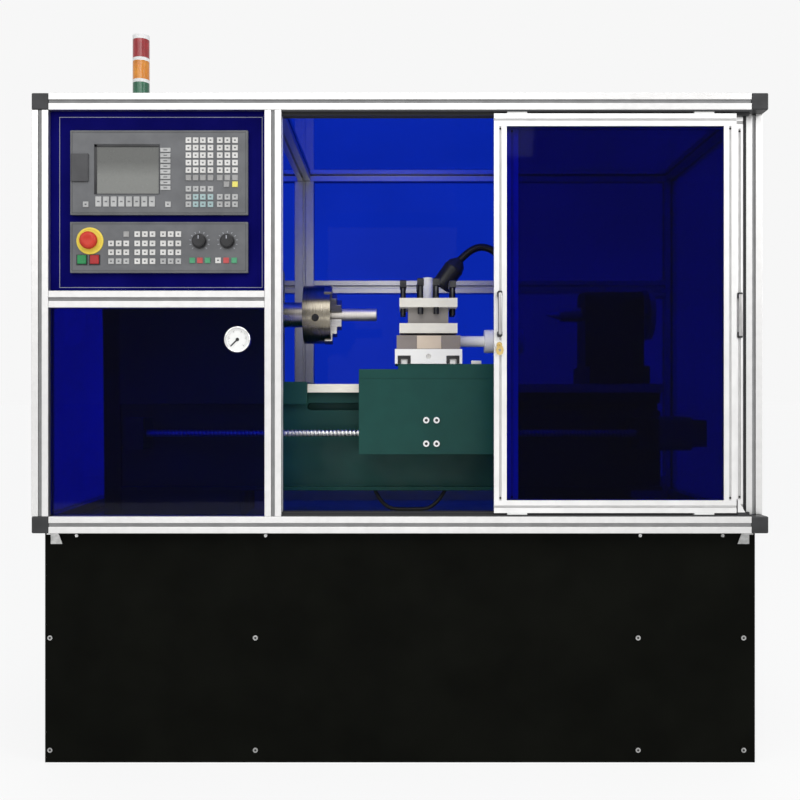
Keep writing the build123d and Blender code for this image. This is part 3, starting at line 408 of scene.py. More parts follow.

# %% [markdown]
# The profiles are natural anodised aluminium: pale, satin, with very fine drawn lines. Door frames are
# the same metal, with white nylon glides at top and bottom. The saddle's rails, the turret's core and
# hub, the tower's pole, the apron's screws and the stop on the lower door track are bands in their
# solids. The rest of the door tracks is near black: painted shade, for the shadow on the tracks behind the
# doors.

# %% Aluminium and the banded finishes
aluminium = machined(
    "anodised_aluminium", (0.63, 0.625, 0.62), (0.665, 0.66, 0.655), gloss=(0.42, 0.46), scale=60
)
aluminium_look = ((0.71, 0.705, 0.70), 1.0, 0.44)
nylon_look = ((0.80, 0.80, 0.78), 0.0, 0.45)
glide_height = 0.0057
door_low, door_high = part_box("front_door_frame")
glides_low, glides_high = door_low.z + glide_height, door_high.z - glide_height
door_finish = banded("door_frame_with_glides", "Z", glides_low, glides_high, aluminium_look, nylon_look)
clear_of_all = 0.1
land_top = 0.9612
green_look = ((0.0085, 0.060, 0.050), 0.0, 0.38)
rail_look = ((0.60, 0.60, 0.59), 1.0, 0.3)
saddle_finish = banded("saddle_with_rails", "Z", land_top, land_top + clear_of_all, rail_look, green_look)
core_low, core_high = 1.0648, 1.1052
plate_look = ((0.74, 0.71, 0.64), 0.1, 0.45)
core_look = ((0.27, 0.25, 0.235), 0.2, 0.55)
turret_finish = banded("turret_plates_and_core", "Z", core_low, core_high, core_look, plate_look)
hub_low, hub_high = 1.0400, 1.2000
hub_look = ((0.92, 0.91, 0.88), 0.0, 0.4)
turret_base_look = ((0.235, 0.205, 0.19), 0.1, 0.5)
neck_left = 0.1530
turret_base_finish = banded(
    "turret_base_and_hub", "Z", hub_low, hub_high, hub_look, turret_base_look, beyond=neck_left
)
apron_face = -0.2342
screw_look = ((0.70, 0.70, 0.70), 0.9, 0.35)
apron_finish = banded(
    "apron_with_screws", "Y", apron_face - clear_of_all, apron_face, screw_look, green_look
)
pole_low, pole_high = 1.6035, 1.7615
white_look = ((0.78, 0.78, 0.765), 0.0, 0.38)
tower_finish = banded("tower_white_and_pole", "Z", pole_low, pole_high, aluminium_look, white_look)
stop_low, stop_high = 0.6045, 0.7000
# Outside the stop band the door tracks are near black: painted shade, for the shadow behind the doors.
track_shade_look = ((0.045, 0.045, 0.047), 0.0, 0.48)
track_finish = banded("door_tracks_shade_and_stop", "Z", stop_low, stop_high, aluminium_look, track_shade_look)
slide_white = painted(
    "cross_slide_white", (0.80, 0.79, 0.765), (0.86, 0.85, 0.825), gloss=(0.35, 0.5), peel=0.05
)
print("banded finishes mixed")

# %% [markdown]
# The panes are deep blue acrylic that swallows most of the light: one pane over a white wall is a strong
# blue, and two or three in a row are almost black. A smooth transmitting surface with a saturated colour
# does that, and a low index keeps the bright studio from being mirrored over the blue. The signal lenses
# are a clearer plastic, ribbed inside, so they keep some body colour. The screen is off: a grey pane with
# painted shade that makes it darker towards its top.

# %% Acrylic, lenses and screen
pane_index = 1.12
pane_lift = 1.12
lens_clear, lens_coat = 0.25, 0.25
lens_ribs = (1, 1, 0.02)


def acrylic(name, colour, roughness):
    finish, tree, shader = begin_finish(name, 0.0, roughness)
    clouds = object_grain(tree, scale=3)
    lighter = [pane_lift * value for value in colour]
    tree.links.new(tone_ramp(tree, clouds, colour, lighter), shader.inputs["Base Color"])
    shader.inputs["Transmission Weight"].default_value = 1.0
    shader.inputs["IOR"].default_value = pane_index
    add_bump(tree, shader, object_grain(tree, scale=9, detail=1), strength=0.02, distance=0.002)
    return finish


def signal_lens(name, dark, light):
    finish, tree, shader = begin_finish(name, metallic=0.0, roughness=0.2)
    tree.links.new(tone_ramp(tree, object_grain(tree, scale=45), dark, light), shader.inputs["Base Color"])
    shader.inputs["Transmission Weight"].default_value = lens_clear
    shader.inputs["Coat Weight"].default_value = lens_coat
    add_bump(tree, shader, object_grain(tree, 150, lens_ribs, detail=1), strength=0.35, distance=0.001)
    return finish


# Painted shade: the grey of the screen goes from the lower tone at the bottom to a darker tone at the top.
def shaded_top_screen(name, bottom_tone, shaded_top_tone):
    finish, tree, shader = begin_finish(name, metallic=0.0, roughness=0.25)
    low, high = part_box("display_screen")
    rise = map_range(tree, object_place(tree)["Z"], low.z, high.z, 0, 1)
    tree.links.new(tone_ramp(tree, rise, bottom_tone, shaded_top_tone), shader.inputs["Base Color"])
    vary_gloss(tree, shader, object_grain(tree, scale=90), low=0.2, high=0.3)
    return finish


pane_blue = acrylic("pane_blue_acrylic", (0.003, 0.020, 0.395), roughness=0.02)
lens_red = signal_lens("lens_red", (0.32, 0.003, 0.007), (0.42, 0.007, 0.012))
lens_amber = signal_lens("lens_amber", (0.74, 0.22, 0.004), (0.86, 0.32, 0.012))
lens_green = signal_lens("lens_green", (0.003, 0.10, 0.046), (0.008, 0.16, 0.070))
screen_glass = shaded_top_screen("screen_grey_green_shaded_top", (0.155, 0.158, 0.147), (0.075, 0.077, 0.071))
print("acrylic, lenses and screen mixed")

# %% [markdown]
# Each solid of the frame now gets its finish. The solids have sharp edges, while real sheet, castings and
# profiles have small radii that catch the light, so a weld, a planar dissolve and a narrow bevel are added
# as modifiers where an edge shows.

# %% Dress the solids
node_finishes = {
    "base_cabinet": black_paint, "base_front_panel": black_paint, "chip_tray": tray_paint,
    "base_fixings": zinc, "corner_cubes": cube_black, "frame_posts": aluminium,
    "frame_beams": aluminium, "enclosure_panels": pane_blue, "control_board": board_blue,
    "display_unit": unit_grey, "display_screen": screen_glass, "usb_cover": cover_grey,
    "button_panel": unit_grey, "estop_collar": collar_yellow, "estop_button": button_red,
    "start_button": button_green, "stop_button": stop_red, "feed_knob": knob_black,
    "spindle_knob": knob_black, "gauge_case": bright_rim, "gauge_needle": black_oxide,
    "door_tracks": track_finish, "front_door_frame": door_finish, "front_door_pane": pane_blue,
    "front_door_handle": steel, "door_key": brass, "rear_door_frame": door_finish,
    "rear_door_pane": pane_blue, "rear_door_handle": steel, "tower_stand": tower_finish,
    "tower_red_lens": lens_red, "tower_amber_lens": lens_amber, "tower_green_lens": lens_green,
    "lathe_bed": machine_green, "bed_ways": ground_way, "headstock": machine_green,
    "spindle": spindle_steel, "spindle_pulley": steel, "drive_belt": belt_rubber,
    "motor_pulley": steel, "spindle_motor": motor_grey, "chuck_body": chuck_steel,
    "chuck_jaw_1": jaw_steel, "chuck_jaw_2": jaw_steel, "chuck_jaw_3": jaw_steel,
    "workpiece": bar_metal, "z_ball_screw": steel, "z_servo_motor": motor_grey,
    "saddle": saddle_finish, "apron_cover": apron_finish, "cross_slide": slide_white,
    "turret_base": turret_base_finish, "turret_head": turret_finish, "turret_bolts": black_oxide,
    "work_lamp": lamp_black, "tailstock_body": machine_green, "tailstock_quill": steel,
    "tailstock_handwheel": steel,
}
edge_radii = {
    "base_cabinet": 0.003, "corner_cubes": 0.003, "frame_posts": 0.0012, "frame_beams": 0.0012,
    "display_unit": 0.003, "button_panel": 0.002, "start_button": 0.0015, "stop_button": 0.0015,
    "front_door_frame": 0.0012, "rear_door_frame": 0.0012, "lathe_bed": 0.004, "apron_cover": 0.0015,
    "cross_slide": 0.002, "turret_base": 0.002, "turret_head": 0.002, "turret_bolts": 0.0008,
    "saddle": 0.002, "tailstock_body": 0.004, "z_servo_motor": 0.002, "chuck_jaw_1": 0.001,
    "chuck_jaw_2": 0.001, "chuck_jaw_3": 0.001, "usb_cover": 0.001, "headstock": 0.003,
}
weld_gap = 0.00002
flat_angle, edge_angle = math.radians(1), math.radians(50)


def soften(solid, radius):
    weld = solid.modifiers.new("weld", "WELD")
    weld.merge_threshold = weld_gap
    flat = solid.modifiers.new("flat", "DECIMATE")
    flat.decimate_type = "DISSOLVE"
    flat.angle_limit = flat_angle
    edge = solid.modifiers.new("edge", "BEVEL")
    edge.width = radius
    edge.segments = 2
    edge.limit_method = "ANGLE"
    edge.angle_limit = edge_angle


for name, finish in node_finishes.items():
    materials = nodes[name].data.materials
    materials.clear()
    materials.append(finish)
cable.data.materials.append(cable_black)
for name, radius in edge_radii.items():
    soften(nodes[name], radius)
print("dressed", len(node_finishes), "solids, softened", len(edge_radii))

# %% [markdown]
# The small pieces are modelled as by hand: a cube or a circle is added, then shaped in edit mode. Helpers
# do the common moves: a block with rounded edges, a turned shape drawn out ring by ring, a flat face made
# into a ring, a placing step that applies its transform, and a step that copies one model to many places
# and joins the copies.

# %% Helpers for modelling
smooth_angle = math.radians(35)
to_front = (0, -1, 0)


def select_only(piece):
    bpy.ops.object.select_all(action="DESELECT")
    piece.select_set(True)
    bpy.context.view_layer.objects.active = piece


def apply_place():
    bpy.ops.object.transform_apply(location=True, rotation=True, scale=True)


def soft_block(low, high, edge, segments=2):
    bpy.ops.object.select_all(action="DESELECT")
    low, high = Vector(low), Vector(high)
    bpy.ops.mesh.primitive_cube_add(size=1, location=(low + high) / 2)
    piece = bpy.context.object
    piece.scale = high - low
    apply_place()
    bpy.ops.object.mode_set(mode="EDIT")
    bpy.ops.mesh.select_all(action="SELECT")
    bpy.ops.mesh.bevel(offset=edge, segments=segments, affect="EDGES")
    bpy.ops.object.mode_set(mode="OBJECT")
    bpy.ops.object.shade_smooth_by_angle(angle=smooth_angle)
    return piece


def turned(rings, sides):
    bpy.ops.object.select_all(action="DESELECT")
    height, radius = rings[0]
    bpy.ops.mesh.primitive_circle_add(
        vertices=sides, radius=radius, fill_type="NGON", location=(0, 0, height)
    )
    piece = bpy.context.object
    apply_place()
    bpy.ops.object.mode_set(mode="EDIT")
    bpy.ops.mesh.select_all(action="SELECT")
    for next_height, next_radius in rings[1:]:
        bpy.ops.mesh.extrude_region_move(TRANSFORM_OT_translate={"value": (0, 0, next_height - height)})
        share = next_radius / radius
        bpy.ops.transform.resize(value=(share, share, 1), center_override=(0, 0, next_height))
        height, radius = next_height, next_radius
    bpy.ops.mesh.select_all(action="SELECT")
    bpy.ops.mesh.normals_make_consistent(inside=False)
    bpy.ops.object.mode_set(mode="OBJECT")
    bpy.ops.object.shade_smooth_by_angle(angle=smooth_angle)
    return piece


def pick_faces(piece, rule):
    """Edit mode with only those faces selected that the rule accepts."""
    bpy.ops.object.mode_set(mode="EDIT")
    bpy.ops.mesh.select_all(action="DESELECT")
    bpy.ops.object.mode_set(mode="OBJECT")
    for face in piece.data.polygons:
        face.select = rule(face)
    bpy.ops.object.mode_set(mode="EDIT")


def pierce(width, move):
    """Edit mode with a flat face turned into a ring of that width and drawn out by move."""
    bpy.ops.object.mode_set(mode="EDIT")
    bpy.ops.mesh.select_all(action="SELECT")
    bpy.ops.mesh.inset(thickness=width, depth=0)
    bpy.ops.mesh.delete(type="FACE")
    bpy.ops.mesh.select_all(action="SELECT")
    bpy.ops.mesh.extrude_region_move(TRANSFORM_OT_translate={"value": move})
    bpy.ops.mesh.select_all(action="SELECT")
    bpy.ops.mesh.normals_make_consistent(inside=False)


def aim(piece, place, direction):
    turn = Vector(direction).to_track_quat("Z", "Y").to_matrix().to_4x4()
    piece.matrix_world = Matrix.Translation(place) @ turn
    select_only(piece)
    apply_place()
    return piece


def repeat(piece, moves):
    copies = []
    for move in moves:
        twin = piece.copy()
        twin.data = piece.data.copy()
        twin.data.transform(move)
        bpy.context.collection.objects.link(twin)
        copies.append(twin)
    bpy.data.objects.remove(piece)
    return join(copies)


def join(pieces):
    bpy.ops.object.select_all(action="DESELECT")
    for piece in pieces:
        piece.select_set(True)
    bpy.context.view_layer.objects.active = pieces[0]
    if len(pieces) > 1:
        bpy.ops.object.join()
    return bpy.context.view_layer.objects.active


def fit(piece, name, body, finish):
    piece.name = name
    piece.data.name = name
    piece.data.materials.clear()
    piece.data.materials.append(finish)
    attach(piece, body)
    return piece


print("modelling helpers ready")

# %% [markdown]
# The two operator units carry rows of membrane keys: pale caps with a dark mark each, a block in cyan,
# and a few in grey, yellow, green and red. One cap is modelled, with a slightly sunk top, and copied to
# every place. The caps of one colour are one piece.

# %% Membrane keys
unit_x = -0.570
unit_front = -0.3845
display_z = 1.408
buttons_z = 1.231
key_size = 0.0132
key_rise = 0.0022
cap_edge, cap_border, cap_sink = 0.0006, 0.0011, 0.0004
pad_columns = (0.070, 0.087, 0.104, 0.122, 0.144, 0.162, 0.180)
pad_first, pad_pitch, pad_rows = 0.076, 0.0177, 6
left_columns, right_columns = pad_columns[:4], pad_columns[4:]
upper_row, low_rows = -0.039, (-0.058, -0.0755)
corner_columns = (-0.173, 0.0215)
mode_row, mode_keys = -0.028, ((0.160, "grey"), (0.180, "yellow"))
group_columns = (-0.095, -0.033, 0.028)
group_rows = (0.031, 0.009, -0.012, -0.033)
group_pitch = 0.018
lamp_row = -0.031
lamp_keys = (
    (0.079, "green"), (0.097, "red"), (0.115, "green"), (0.140, "white"), (0.159, "red"), (0.178, "green"),
)
soft_side, soft_under = (0.024, 0.010), (0.014, 0.024)
soft_count = 8
side_column, side_first, side_pitch = 0.0155, 0.053, 0.0128
under_row, under_first, under_pitch = -0.069, -0.143, 0.0181


def key_cap(width, height):
    cap = soft_block((-width / 2, -key_rise, -height / 2), (width / 2, 0, height / 2), cap_edge)
    pick_faces(cap, lambda face: face.normal.y < -0.99)
    bpy.ops.mesh.inset(thickness=cap_border, depth=-cap_sink)
    bpy.ops.object.mode_set(mode="OBJECT")
    return cap


def at_unit(x, z, unit_z):
    return Matrix.Translation((unit_x + x, unit_front, unit_z + z))


def key_places():
    places = {"white": [], "pale": [], "grey": [], "cyan": [], "yellow": [], "green": [], "red": []}
    for row in range(pad_rows):
        colour = "grey" if row == pad_rows - 1 else "white"
        places[colour] += [at_unit(x, pad_first - pad_pitch * row, display_z) for x in pad_columns]
    places["pale"] += [at_unit(x, upper_row, display_z) for x in left_columns]
    places["pale"] += [at_unit(left_columns[0], z, display_z) for z in low_rows]
    places["cyan"] += [at_unit(x, z, display_z) for x in left_columns[1:] for z in low_rows]
    places["pale"] += [at_unit(x, z, display_z) for x in right_columns for z in low_rows]
    places["pale"] += [at_unit(x, low_rows[-1], display_z) for x in corner_columns]
    for x, colour in mode_keys:
        places[colour].append(at_unit(x, mode_row, display_z))
    for number, middle in enumerate(group_columns):
        for row, z in enumerate(group_rows):
            tone = "pale" if row == 3 and number != 1 else "white"
            if number == 0 and row == 0:
                places["grey"].append(at_unit(middle + group_pitch, z, buttons_z))
            else:
                places[tone] += [at_unit(middle + side * group_pitch, z, buttons_z) for side in (-1, 0, 1)]
    for x, colour in lamp_keys:
        places[colour].append(at_unit(x, lamp_row, buttons_z))
    return places


def soft_key_places():
    steps = range(soft_count)
    side = [at_unit(side_column, side_first - side_pitch * step, display_z) for step in steps]
    under = [at_unit(under_first + under_pitch * step, under_row, display_z) for step in steps]
    return side, under


key_tones = {
    "white": ((0.57, 0.56, 0.54), (0.65, 0.64, 0.62)), "pale": ((0.36, 0.36, 0.355), (0.44, 0.44, 0.435)),
    "grey": ((0.28, 0.275, 0.27), (0.34, 0.335, 0.33)), "cyan": ((0.29, 0.40, 0.40), (0.35, 0.46, 0.46)),
    "yellow": ((0.70, 0.62, 0.14), (0.78, 0.70, 0.20)), "green": ((0.06, 0.26, 0.13), (0.08, 0.32, 0.17)),
    "red": ((0.42, 0.06, 0.06), (0.50, 0.08, 0.08)),
}
places = key_places()
side_places, under_places = soft_key_places()
for colour, spots in places.items():
    keys = repeat(key_cap(key_size, key_size), spots)
    if colour == "pale":
        side_keys = repeat(key_cap(*soft_side), side_places)
        under_keys = repeat(key_cap(*soft_under), under_places)
        keys = join([keys, side_keys, under_keys])
    if colour == "white":
        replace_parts(keys, "membrane_keys")
    key_finish = moulded(colour + "_key_plastic", *key_tones[colour])
    fit(keys, colour + "_keys", "enclosure", key_finish)
    print(colour, "keys:", len(spots))

# %% [markdown]
# The white, pale and cyan keys each have a small dark mark. A short bar on the sunk top stands for it: from
# a step away that is all the eye sees.

# %% Marks on the keys
mark_front, mark_back, mark_edge = -0.0020, -0.0016, 0.00012
cap_mark, side_mark, under_mark = (0.0044, 0.0036), (0.0090, 0.0026), (0.0060, 0.0032)


def key_mark(width, height):
    low, high = (-width / 2, mark_front, -height / 2), (width / 2, mark_back, height / 2)
    return soft_block(low, high, mark_edge, 1)


mark_black = moulded("key_mark_black", (0.02, 0.02, 0.022), (0.035, 0.035, 0.038))
mark_grey = moulded("key_mark_grey", (0.10, 0.10, 0.105), (0.14, 0.14, 0.145))
marks = join([
    repeat(key_mark(*cap_mark), places["white"] + places["pale"] + places["cyan"]),
    repeat(key_mark(*side_mark), side_places),
    repeat(key_mark(*under_mark), under_places),
])
fit(marks, "key_marks", "enclosure", mark_grey)
print("marks:", len(marks.data.polygons), "faces")

# %% [markdown]
# A thin grey line runs round the control board, and darker ones round the screen and the faces of the two
# units. All are flat rings: a plane is inset, its middle is deleted, and the ring that is left is drawn out
# by a millimetre or less. The screen lies in a well, and two black strips along its upper and left edges
# are painted shade: the shadow that the walls of the well cast on the screen.

# %% Flat rings on the board and the screen
def flat_ring(low_x, high_x, low_z, high_z, back_y, width, rise):
    bpy.ops.object.select_all(action="DESELECT")
    middle = ((low_x + high_x) / 2, back_y, (low_z + high_z) / 2)
    bpy.ops.mesh.primitive_plane_add(size=1, location=middle, rotation=(math.pi / 2, 0, 0))
    ring = bpy.context.object
    ring.scale = (high_x - low_x, high_z - low_z, 1)
    apply_place()
    pierce(width, (0, -rise, 0))
    bpy.ops.object.mode_set(mode="OBJECT")
    return ring


board_front = -0.3725
border_box = (-0.8095, -0.3269, 1.1367, 1.5426)
line_rise = 0.0004
line_grey = painted("border_line_grey", (0.20, 0.205, 0.26), (0.26, 0.265, 0.32))
border = flat_ring(*border_box, board_front, width=0.0013, rise=line_rise)
fit(border, "board_border_line", "enclosure", line_grey)
screen_low, screen_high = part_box("display_screen")
screen_box = (screen_low.x, screen_high.x, screen_low.z, screen_high.z)
bezel = flat_ring(*screen_box, screen_low.y, width=0.0016, rise=0.0009)
fit(bezel, "screen_fine_frame", "enclosure", cover_grey)
# The two black strips below are painted shade from the upper and left walls of the screen's well.
shade_strip_width, shade_strip_edge = 0.0062, 0.0003
shade_strip_front = screen_low.y - 0.0010
upper_shade_low, left_shade_right = screen_high.z - shade_strip_width, screen_low.x + shade_strip_width
upper_shade_strip = soft_block(
    (screen_low.x, shade_strip_front, upper_shade_low), (screen_high.x, screen_low.y, screen_high.z), shade_strip_edge
)
left_shade_strip = soft_block(
    (screen_low.x, shade_strip_front, screen_low.z), (left_shade_right, screen_low.y, screen_high.z), shade_strip_edge
)
fit(join([upper_shade_strip, left_shade_strip]), "screen_painted_shade_strips", "enclosure", knob_black)
rim_left, rim_right = unit_x - 0.206, unit_x + 0.206
unit_rims = [
    flat_ring(rim_left, rim_right, z - half, z + half, unit_front, width=0.0012, rise=line_rise)
    for z, half in ((display_z, 0.096), (buttons_z, 0.056))
]
fit(join(unit_rims), "unit_face_lines", "enclosure", cover_grey)
print("rings laid")

# %% [markdown]
# Round the two override knobs the panel has a printed scale of short white ticks. One tick is modelled
# above the knob and turned about the knob's axis. A knob is turned ring by ring, faces of its wall are drawn
# out a little for the grip, and a short white bar on its front is the pointer.

# %% Knob scales and pointers
knob_z = 1.245
knob_places = (-0.474, -0.408)
knob_back = unit_front - 0.0004
knob_rings = (
    (0, 0.0172), (0.001, 0.0175), (0.004, 0.0175), (0.0045, 0.0148), (0.0145, 0.0140), (0.016, 0.0125),
)
shaft_rings = ((-0.0094, 0.004), (0.001, 0.004))
rib_low, rib_high, rib_rise = 0.006, 0.014, 0.0009
flat_start, flat_end = 180, 230
pointer_back = unit_front - 0.0162
scale_sweep = 270
scale_white = painted("border_line_white", (0.50, 0.51, 0.56), (0.58, 0.59, 0.64))


def tick_turns(x, z, count):
    """Turns about the axis of a dial at x and z, spread over the sweep of its scale."""
    centre = Matrix.Translation((x, 0, z))
    step = scale_sweep / (count - 1)
    return [
        centre @ Matrix.Rotation(math.radians(step * number - scale_sweep / 2), 4, "Y") @ centre.inverted()
        for number in range(count)
    ]


def tick(x, z, reach, length, width, back_y, rise):
    low = (x - width / 2, back_y - rise, z + reach)
    return soft_block(low, (x + width / 2, back_y, z + reach + length), rise / 4, 1)


def knob_scale(x):
    mark = tick(x, knob_z, reach=0.0205, length=0.0040, width=0.0011, back_y=unit_front, rise=0.0004)
    return repeat(mark, tick_turns(x, knob_z, count=11))


def on_rib(face):
    """Wall faces stand out for the grip, apart from a short flat stretch between two angles."""
    wall = abs(face.normal.z) < 0.3 and rib_low < face.center.z < rib_high
    angle = math.degrees(math.atan2(face.center.y, face.center.x)) % 360
    return wall and not flat_start < angle < flat_end


def ribbed_knob(x):
    body = turned(knob_rings, 36)
    pick_faces(body, on_rib)
    bpy.ops.mesh.extrude_faces_move(TRANSFORM_OT_shrink_fatten={"value": rib_rise})
    bpy.ops.object.mode_set(mode="OBJECT")
    shaft = turned(shaft_rings, 20)
    return aim(join([body, shaft]), (x, knob_back, knob_z), to_front)


scales = [knob_scale(x) for x in knob_places]
fit(join(scales), "knob_scales", "enclosure", scale_white)
for name, x in zip(("feed_knob", "spindle_knob"), knob_places):
    knob = fit(ribbed_knob(x), name + "_ribbed", name, knob_black)
    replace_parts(knob, name)
    pointer = tick(x, knob_z, reach=0.0040, length=0.0080, width=0.0016, back_y=pointer_back, rise=0.0005)
    fit(pointer, name + "_pointer", name, scale_white)
print("knobs and scales made")

# %% [markdown]
# The emergency stop is a red mushroom with a rounded crown and a shallow dish in its top. Its outline is
# drawn out ring by ring from the stem, which reaches back through the yellow collar. The start and stop
# buttons below it each stand in a black bezel: four narrow bars round the opening, the upper one slim to
# clear the collar. The bars' black is partly the bezel's own colour and partly painted shadow round each
# button.

# %% Emergency stop
estop_x, estop_z = -0.733, 1.246
mushroom_back = -0.3929
mushroom_rings = (
    (-0.0150, 0.0080), (0, 0.0080), (0, 0.0192), (0.0015, 0.0205), (0.0035, 0.0208),
    (0.0080, 0.0203), (0.0110, 0.0188), (0.0130, 0.0162), (0.0139, 0.0132), (0.0138, 0.0102),
    (0.0130, 0.0060), (0.0128, 0.0020),
)
collar_rings = (
    (0, 0.0318), (0.0004, 0.0320), (0.0024, 0.0316), (0.0030, 0.0308), (0.0030, 0.0270), (0.0024, 0.0262),
    (0.0024, 0.0100), (0.0029, 0.0092), (0.0029, 0.0084),
)
estop = aim(turned(mushroom_rings, 48), (estop_x, mushroom_back, estop_z), to_front)
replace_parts(fit(estop, "estop_mushroom", "estop_button", button_red), "estop_button")
collar = aim(turned(collar_rings, 48), (estop_x, unit_front, estop_z), to_front)
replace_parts(fit(collar, "estop_yellow_collar", "enclosure", collar_yellow), "estop_collar")
bezel_gap, bezel_width, bezel_slim, bezel_rise, bezel_edge = 0.0003, 0.0024, 0.0008, 0.0010, 0.0002


def button_bezel(name):
    low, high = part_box(name)
    left, right = low.x - bezel_gap, high.x + bezel_gap
    bottom, top = low.z - bezel_gap, high.z + bezel_gap
    bars = (
        (left - bezel_width, left, bottom - bezel_width, top + bezel_slim),
        (right, right + bezel_width, bottom - bezel_width, top + bezel_slim),
        (left, right, bottom - bezel_width, bottom), (left, right, top, top + bezel_slim),
    )
    front = unit_front - bezel_rise
    return [soft_block((x0, front, z0), (x1, unit_front, z1), bezel_edge, 1) for x0, x1, z0, z1 in bars]


# The bezels' black is partly their own colour and partly painted shadow round the buttons.
bezels = button_bezel("start_button") + button_bezel("stop_button")
fit(join(bezels), "button_bezels_and_shadow", "enclosure", knob_black)
print("emergency stop and bezels made")

# %% [markdown]
# The pressure gauge has a white dial with black ticks over three quarters of a turn and a steel rim. The
# needle is a solid of the frame, so the dial lies just behind it. The clear cover of a real gauge is left
# out, which keeps the needle in plain view.

# %% Pressure gauge
gauge_x, gauge_z = -0.384, 1.013
dial_y = -0.3875
dial_rings = ((0, 0.0268), (0.00022, 0.0268))
rim_rings = (
    (0, 0.0305), (0.0005, 0.0305), (0.0195, 0.0305), (0.0200, 0.0300), (0.0205, 0.0285), (0.0200, 0.0272),
    (0.0196, 0.0270), (0.0152, 0.0270),
)
dial_white = painted("dial_white", (0.78, 0.78, 0.76), (0.84, 0.84, 0.82), peel=0.03)


def dial_ticks(reach, length, width, count):
    mark = tick(gauge_x, gauge_z, reach, length, width, back_y=dial_y - 0.0002, rise=0.00012)
    return repeat(mark, tick_turns(gauge_x, gauge_z, count))


dial = aim(turned(dial_rings, 64), (gauge_x, dial_y, gauge_z), to_front)
fit(dial, "gauge_dial", "enclosure", dial_white)
long_ticks = dial_ticks(reach=0.0175, length=0.0058, width=0.0010, count=6)
short_ticks = dial_ticks(reach=0.0202, length=0.0031, width=0.0005, count=26)
fit(join([long_ticks, short_ticks]), "gauge_ticks", "enclosure", mark_black)
rim = aim(turned(rim_rings, 64), (gauge_x, board_front, gauge_z), to_front)
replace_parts(fit(rim, "gauge_steel_rim", "enclosure", bright_rim), "gauge_case")
print("gauge made")

# %% [markdown]
# Each door has a bow handle: a slim steel grip between two dark feet. The front one stands out for a
# whole hand, and the rear one is low, because the front door slides over it. The grip is a block with
# well rounded edges.

# %% Door handles
grip_inset, grip_shorter, grip_round = 0.0008, 0.004, 0.45
foot_height, foot_step = 0.014, 0.0015
grip_steel = machined(
    "grip_steel", (0.36, 0.35, 0.345), (0.46, 0.45, 0.445), stretch=(14, 14, 1), gloss=(0.3, 0.4)
)
foot_dark = moulded("handle_foot_dark", (0.02, 0.02, 0.022), (0.035, 0.035, 0.037))


def bow_handle(name, body, grip_depth, foot_edge):
    low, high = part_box(name)
    grip_low = (low.x + grip_inset, low.y, low.z + grip_shorter)
    grip_high = (high.x - grip_inset, low.y + grip_depth, high.z - grip_shorter)
    grip = soft_block(grip_low, grip_high, grip_round * grip_depth, 4)
    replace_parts(fit(grip, name + "_grip", body, grip_steel), name)
    feet = [
        soft_block((low.x, low.y + foot_step, z), (high.x, high.y, z + foot_height), foot_edge, 3)
        for z in (low.z, high.z - foot_height)
    ]
    fit(join(feet), name + "_feet", body, foot_dark)


bow_handle("front_door_handle", "front_door", grip_depth=0.0085, foot_edge=0.0035)
bow_handle("rear_door_handle", "rear_door", grip_depth=0.0038, foot_edge=0.0016)
print("handles made")

# %% [markdown]
# The work lamp hangs on a gooseneck: a spring-like tube that keeps the bend it is given. A smooth spline
# gives its line, a tube is drawn along it, and narrow rings set close together give its ribs. The head is
# a turned can, open in front, with a pale lens inside.

# %% Work lamp
carriage_x = 0.072064
neck_points = (
    (0.218, 0.125, 0.966), (0.234, 0.122, 1.060), (0.246, 0.098, 1.186), (0.224, 0.082, 1.284),
    (0.150, 0.080, 1.320), (0.113, 0.080, 1.282), (0.098, 0.080, 1.268),
)
neck_radius = 0.0098
neck_rib_radius, neck_rib_pitch = 0.0015, 0.0050
foot_place = (carriage_x + 0.218, 0.125, 0.948)
foot_rings = (
    (0, 0.022), (0.003, 0.022), (0.006, 0.020), (0.014, 0.020), (0.018, 0.017), (0.020, 0.013),
    (0.028, 0.012),
)
head_tilt = math.radians(36)
head_length = 0.094
head_rings = (
    (0.020, 0.0235), (0.000, 0.0262), (0.000, 0.0284), (0.001, 0.0290), (0.010, 0.0290), (0.011, 0.0282),
    (0.058, 0.0282), (0.060, 0.0290), (0.064, 0.0290), (0.066, 0.0278), (0.080, 0.0240), (0.090, 0.0150),
    (head_length, 0.0110),
)
lens_rings = ((0.0162, 0.0236), (0.0180, 0.0238), (0.0195, 0.0236))
lens_pale = moulded("lamp_lens_pale", (0.70, 0.70, 0.66), (0.78, 0.78, 0.74), gloss=(0.1, 0.2), coat=0.5)


def neck_mesh(thickness):
    holder = smooth_line("lamp_neck_line", [(carriage_x + x, y, z) for x, y, z in neck_points], 4, 24)
    holder.data.bevel_depth = thickness
    bpy.context.view_layer.update()
    mesh = bpy.data.meshes.new_from_object(holder)
    bpy.data.objects.remove(holder)
    return mesh


def rib_moves(line):
    """A move to each place of a rib, one pitch apart along the line."""
    moves = []
    carried = 0.0
    for first, second in zip(line[:-1], line[1:]):
        run = second - first
        while carried < run.length:
            turn = run.to_track_quat("Z", "Y").to_matrix().to_4x4()
            moves.append(Matrix.Translation(first + run.normalized() * carried) @ turn)
            carried += neck_rib_pitch
        carried -= run.length
    return moves


def lamp_rib():
    bpy.ops.object.select_all(action="DESELECT")
    bpy.ops.mesh.primitive_torus_add(
        major_radius=neck_radius, minor_radius=neck_rib_radius, major_segments=16, minor_segments=6,
        location=(0, 0, 0),
    )
    bpy.ops.object.shade_smooth()
    return bpy.context.object


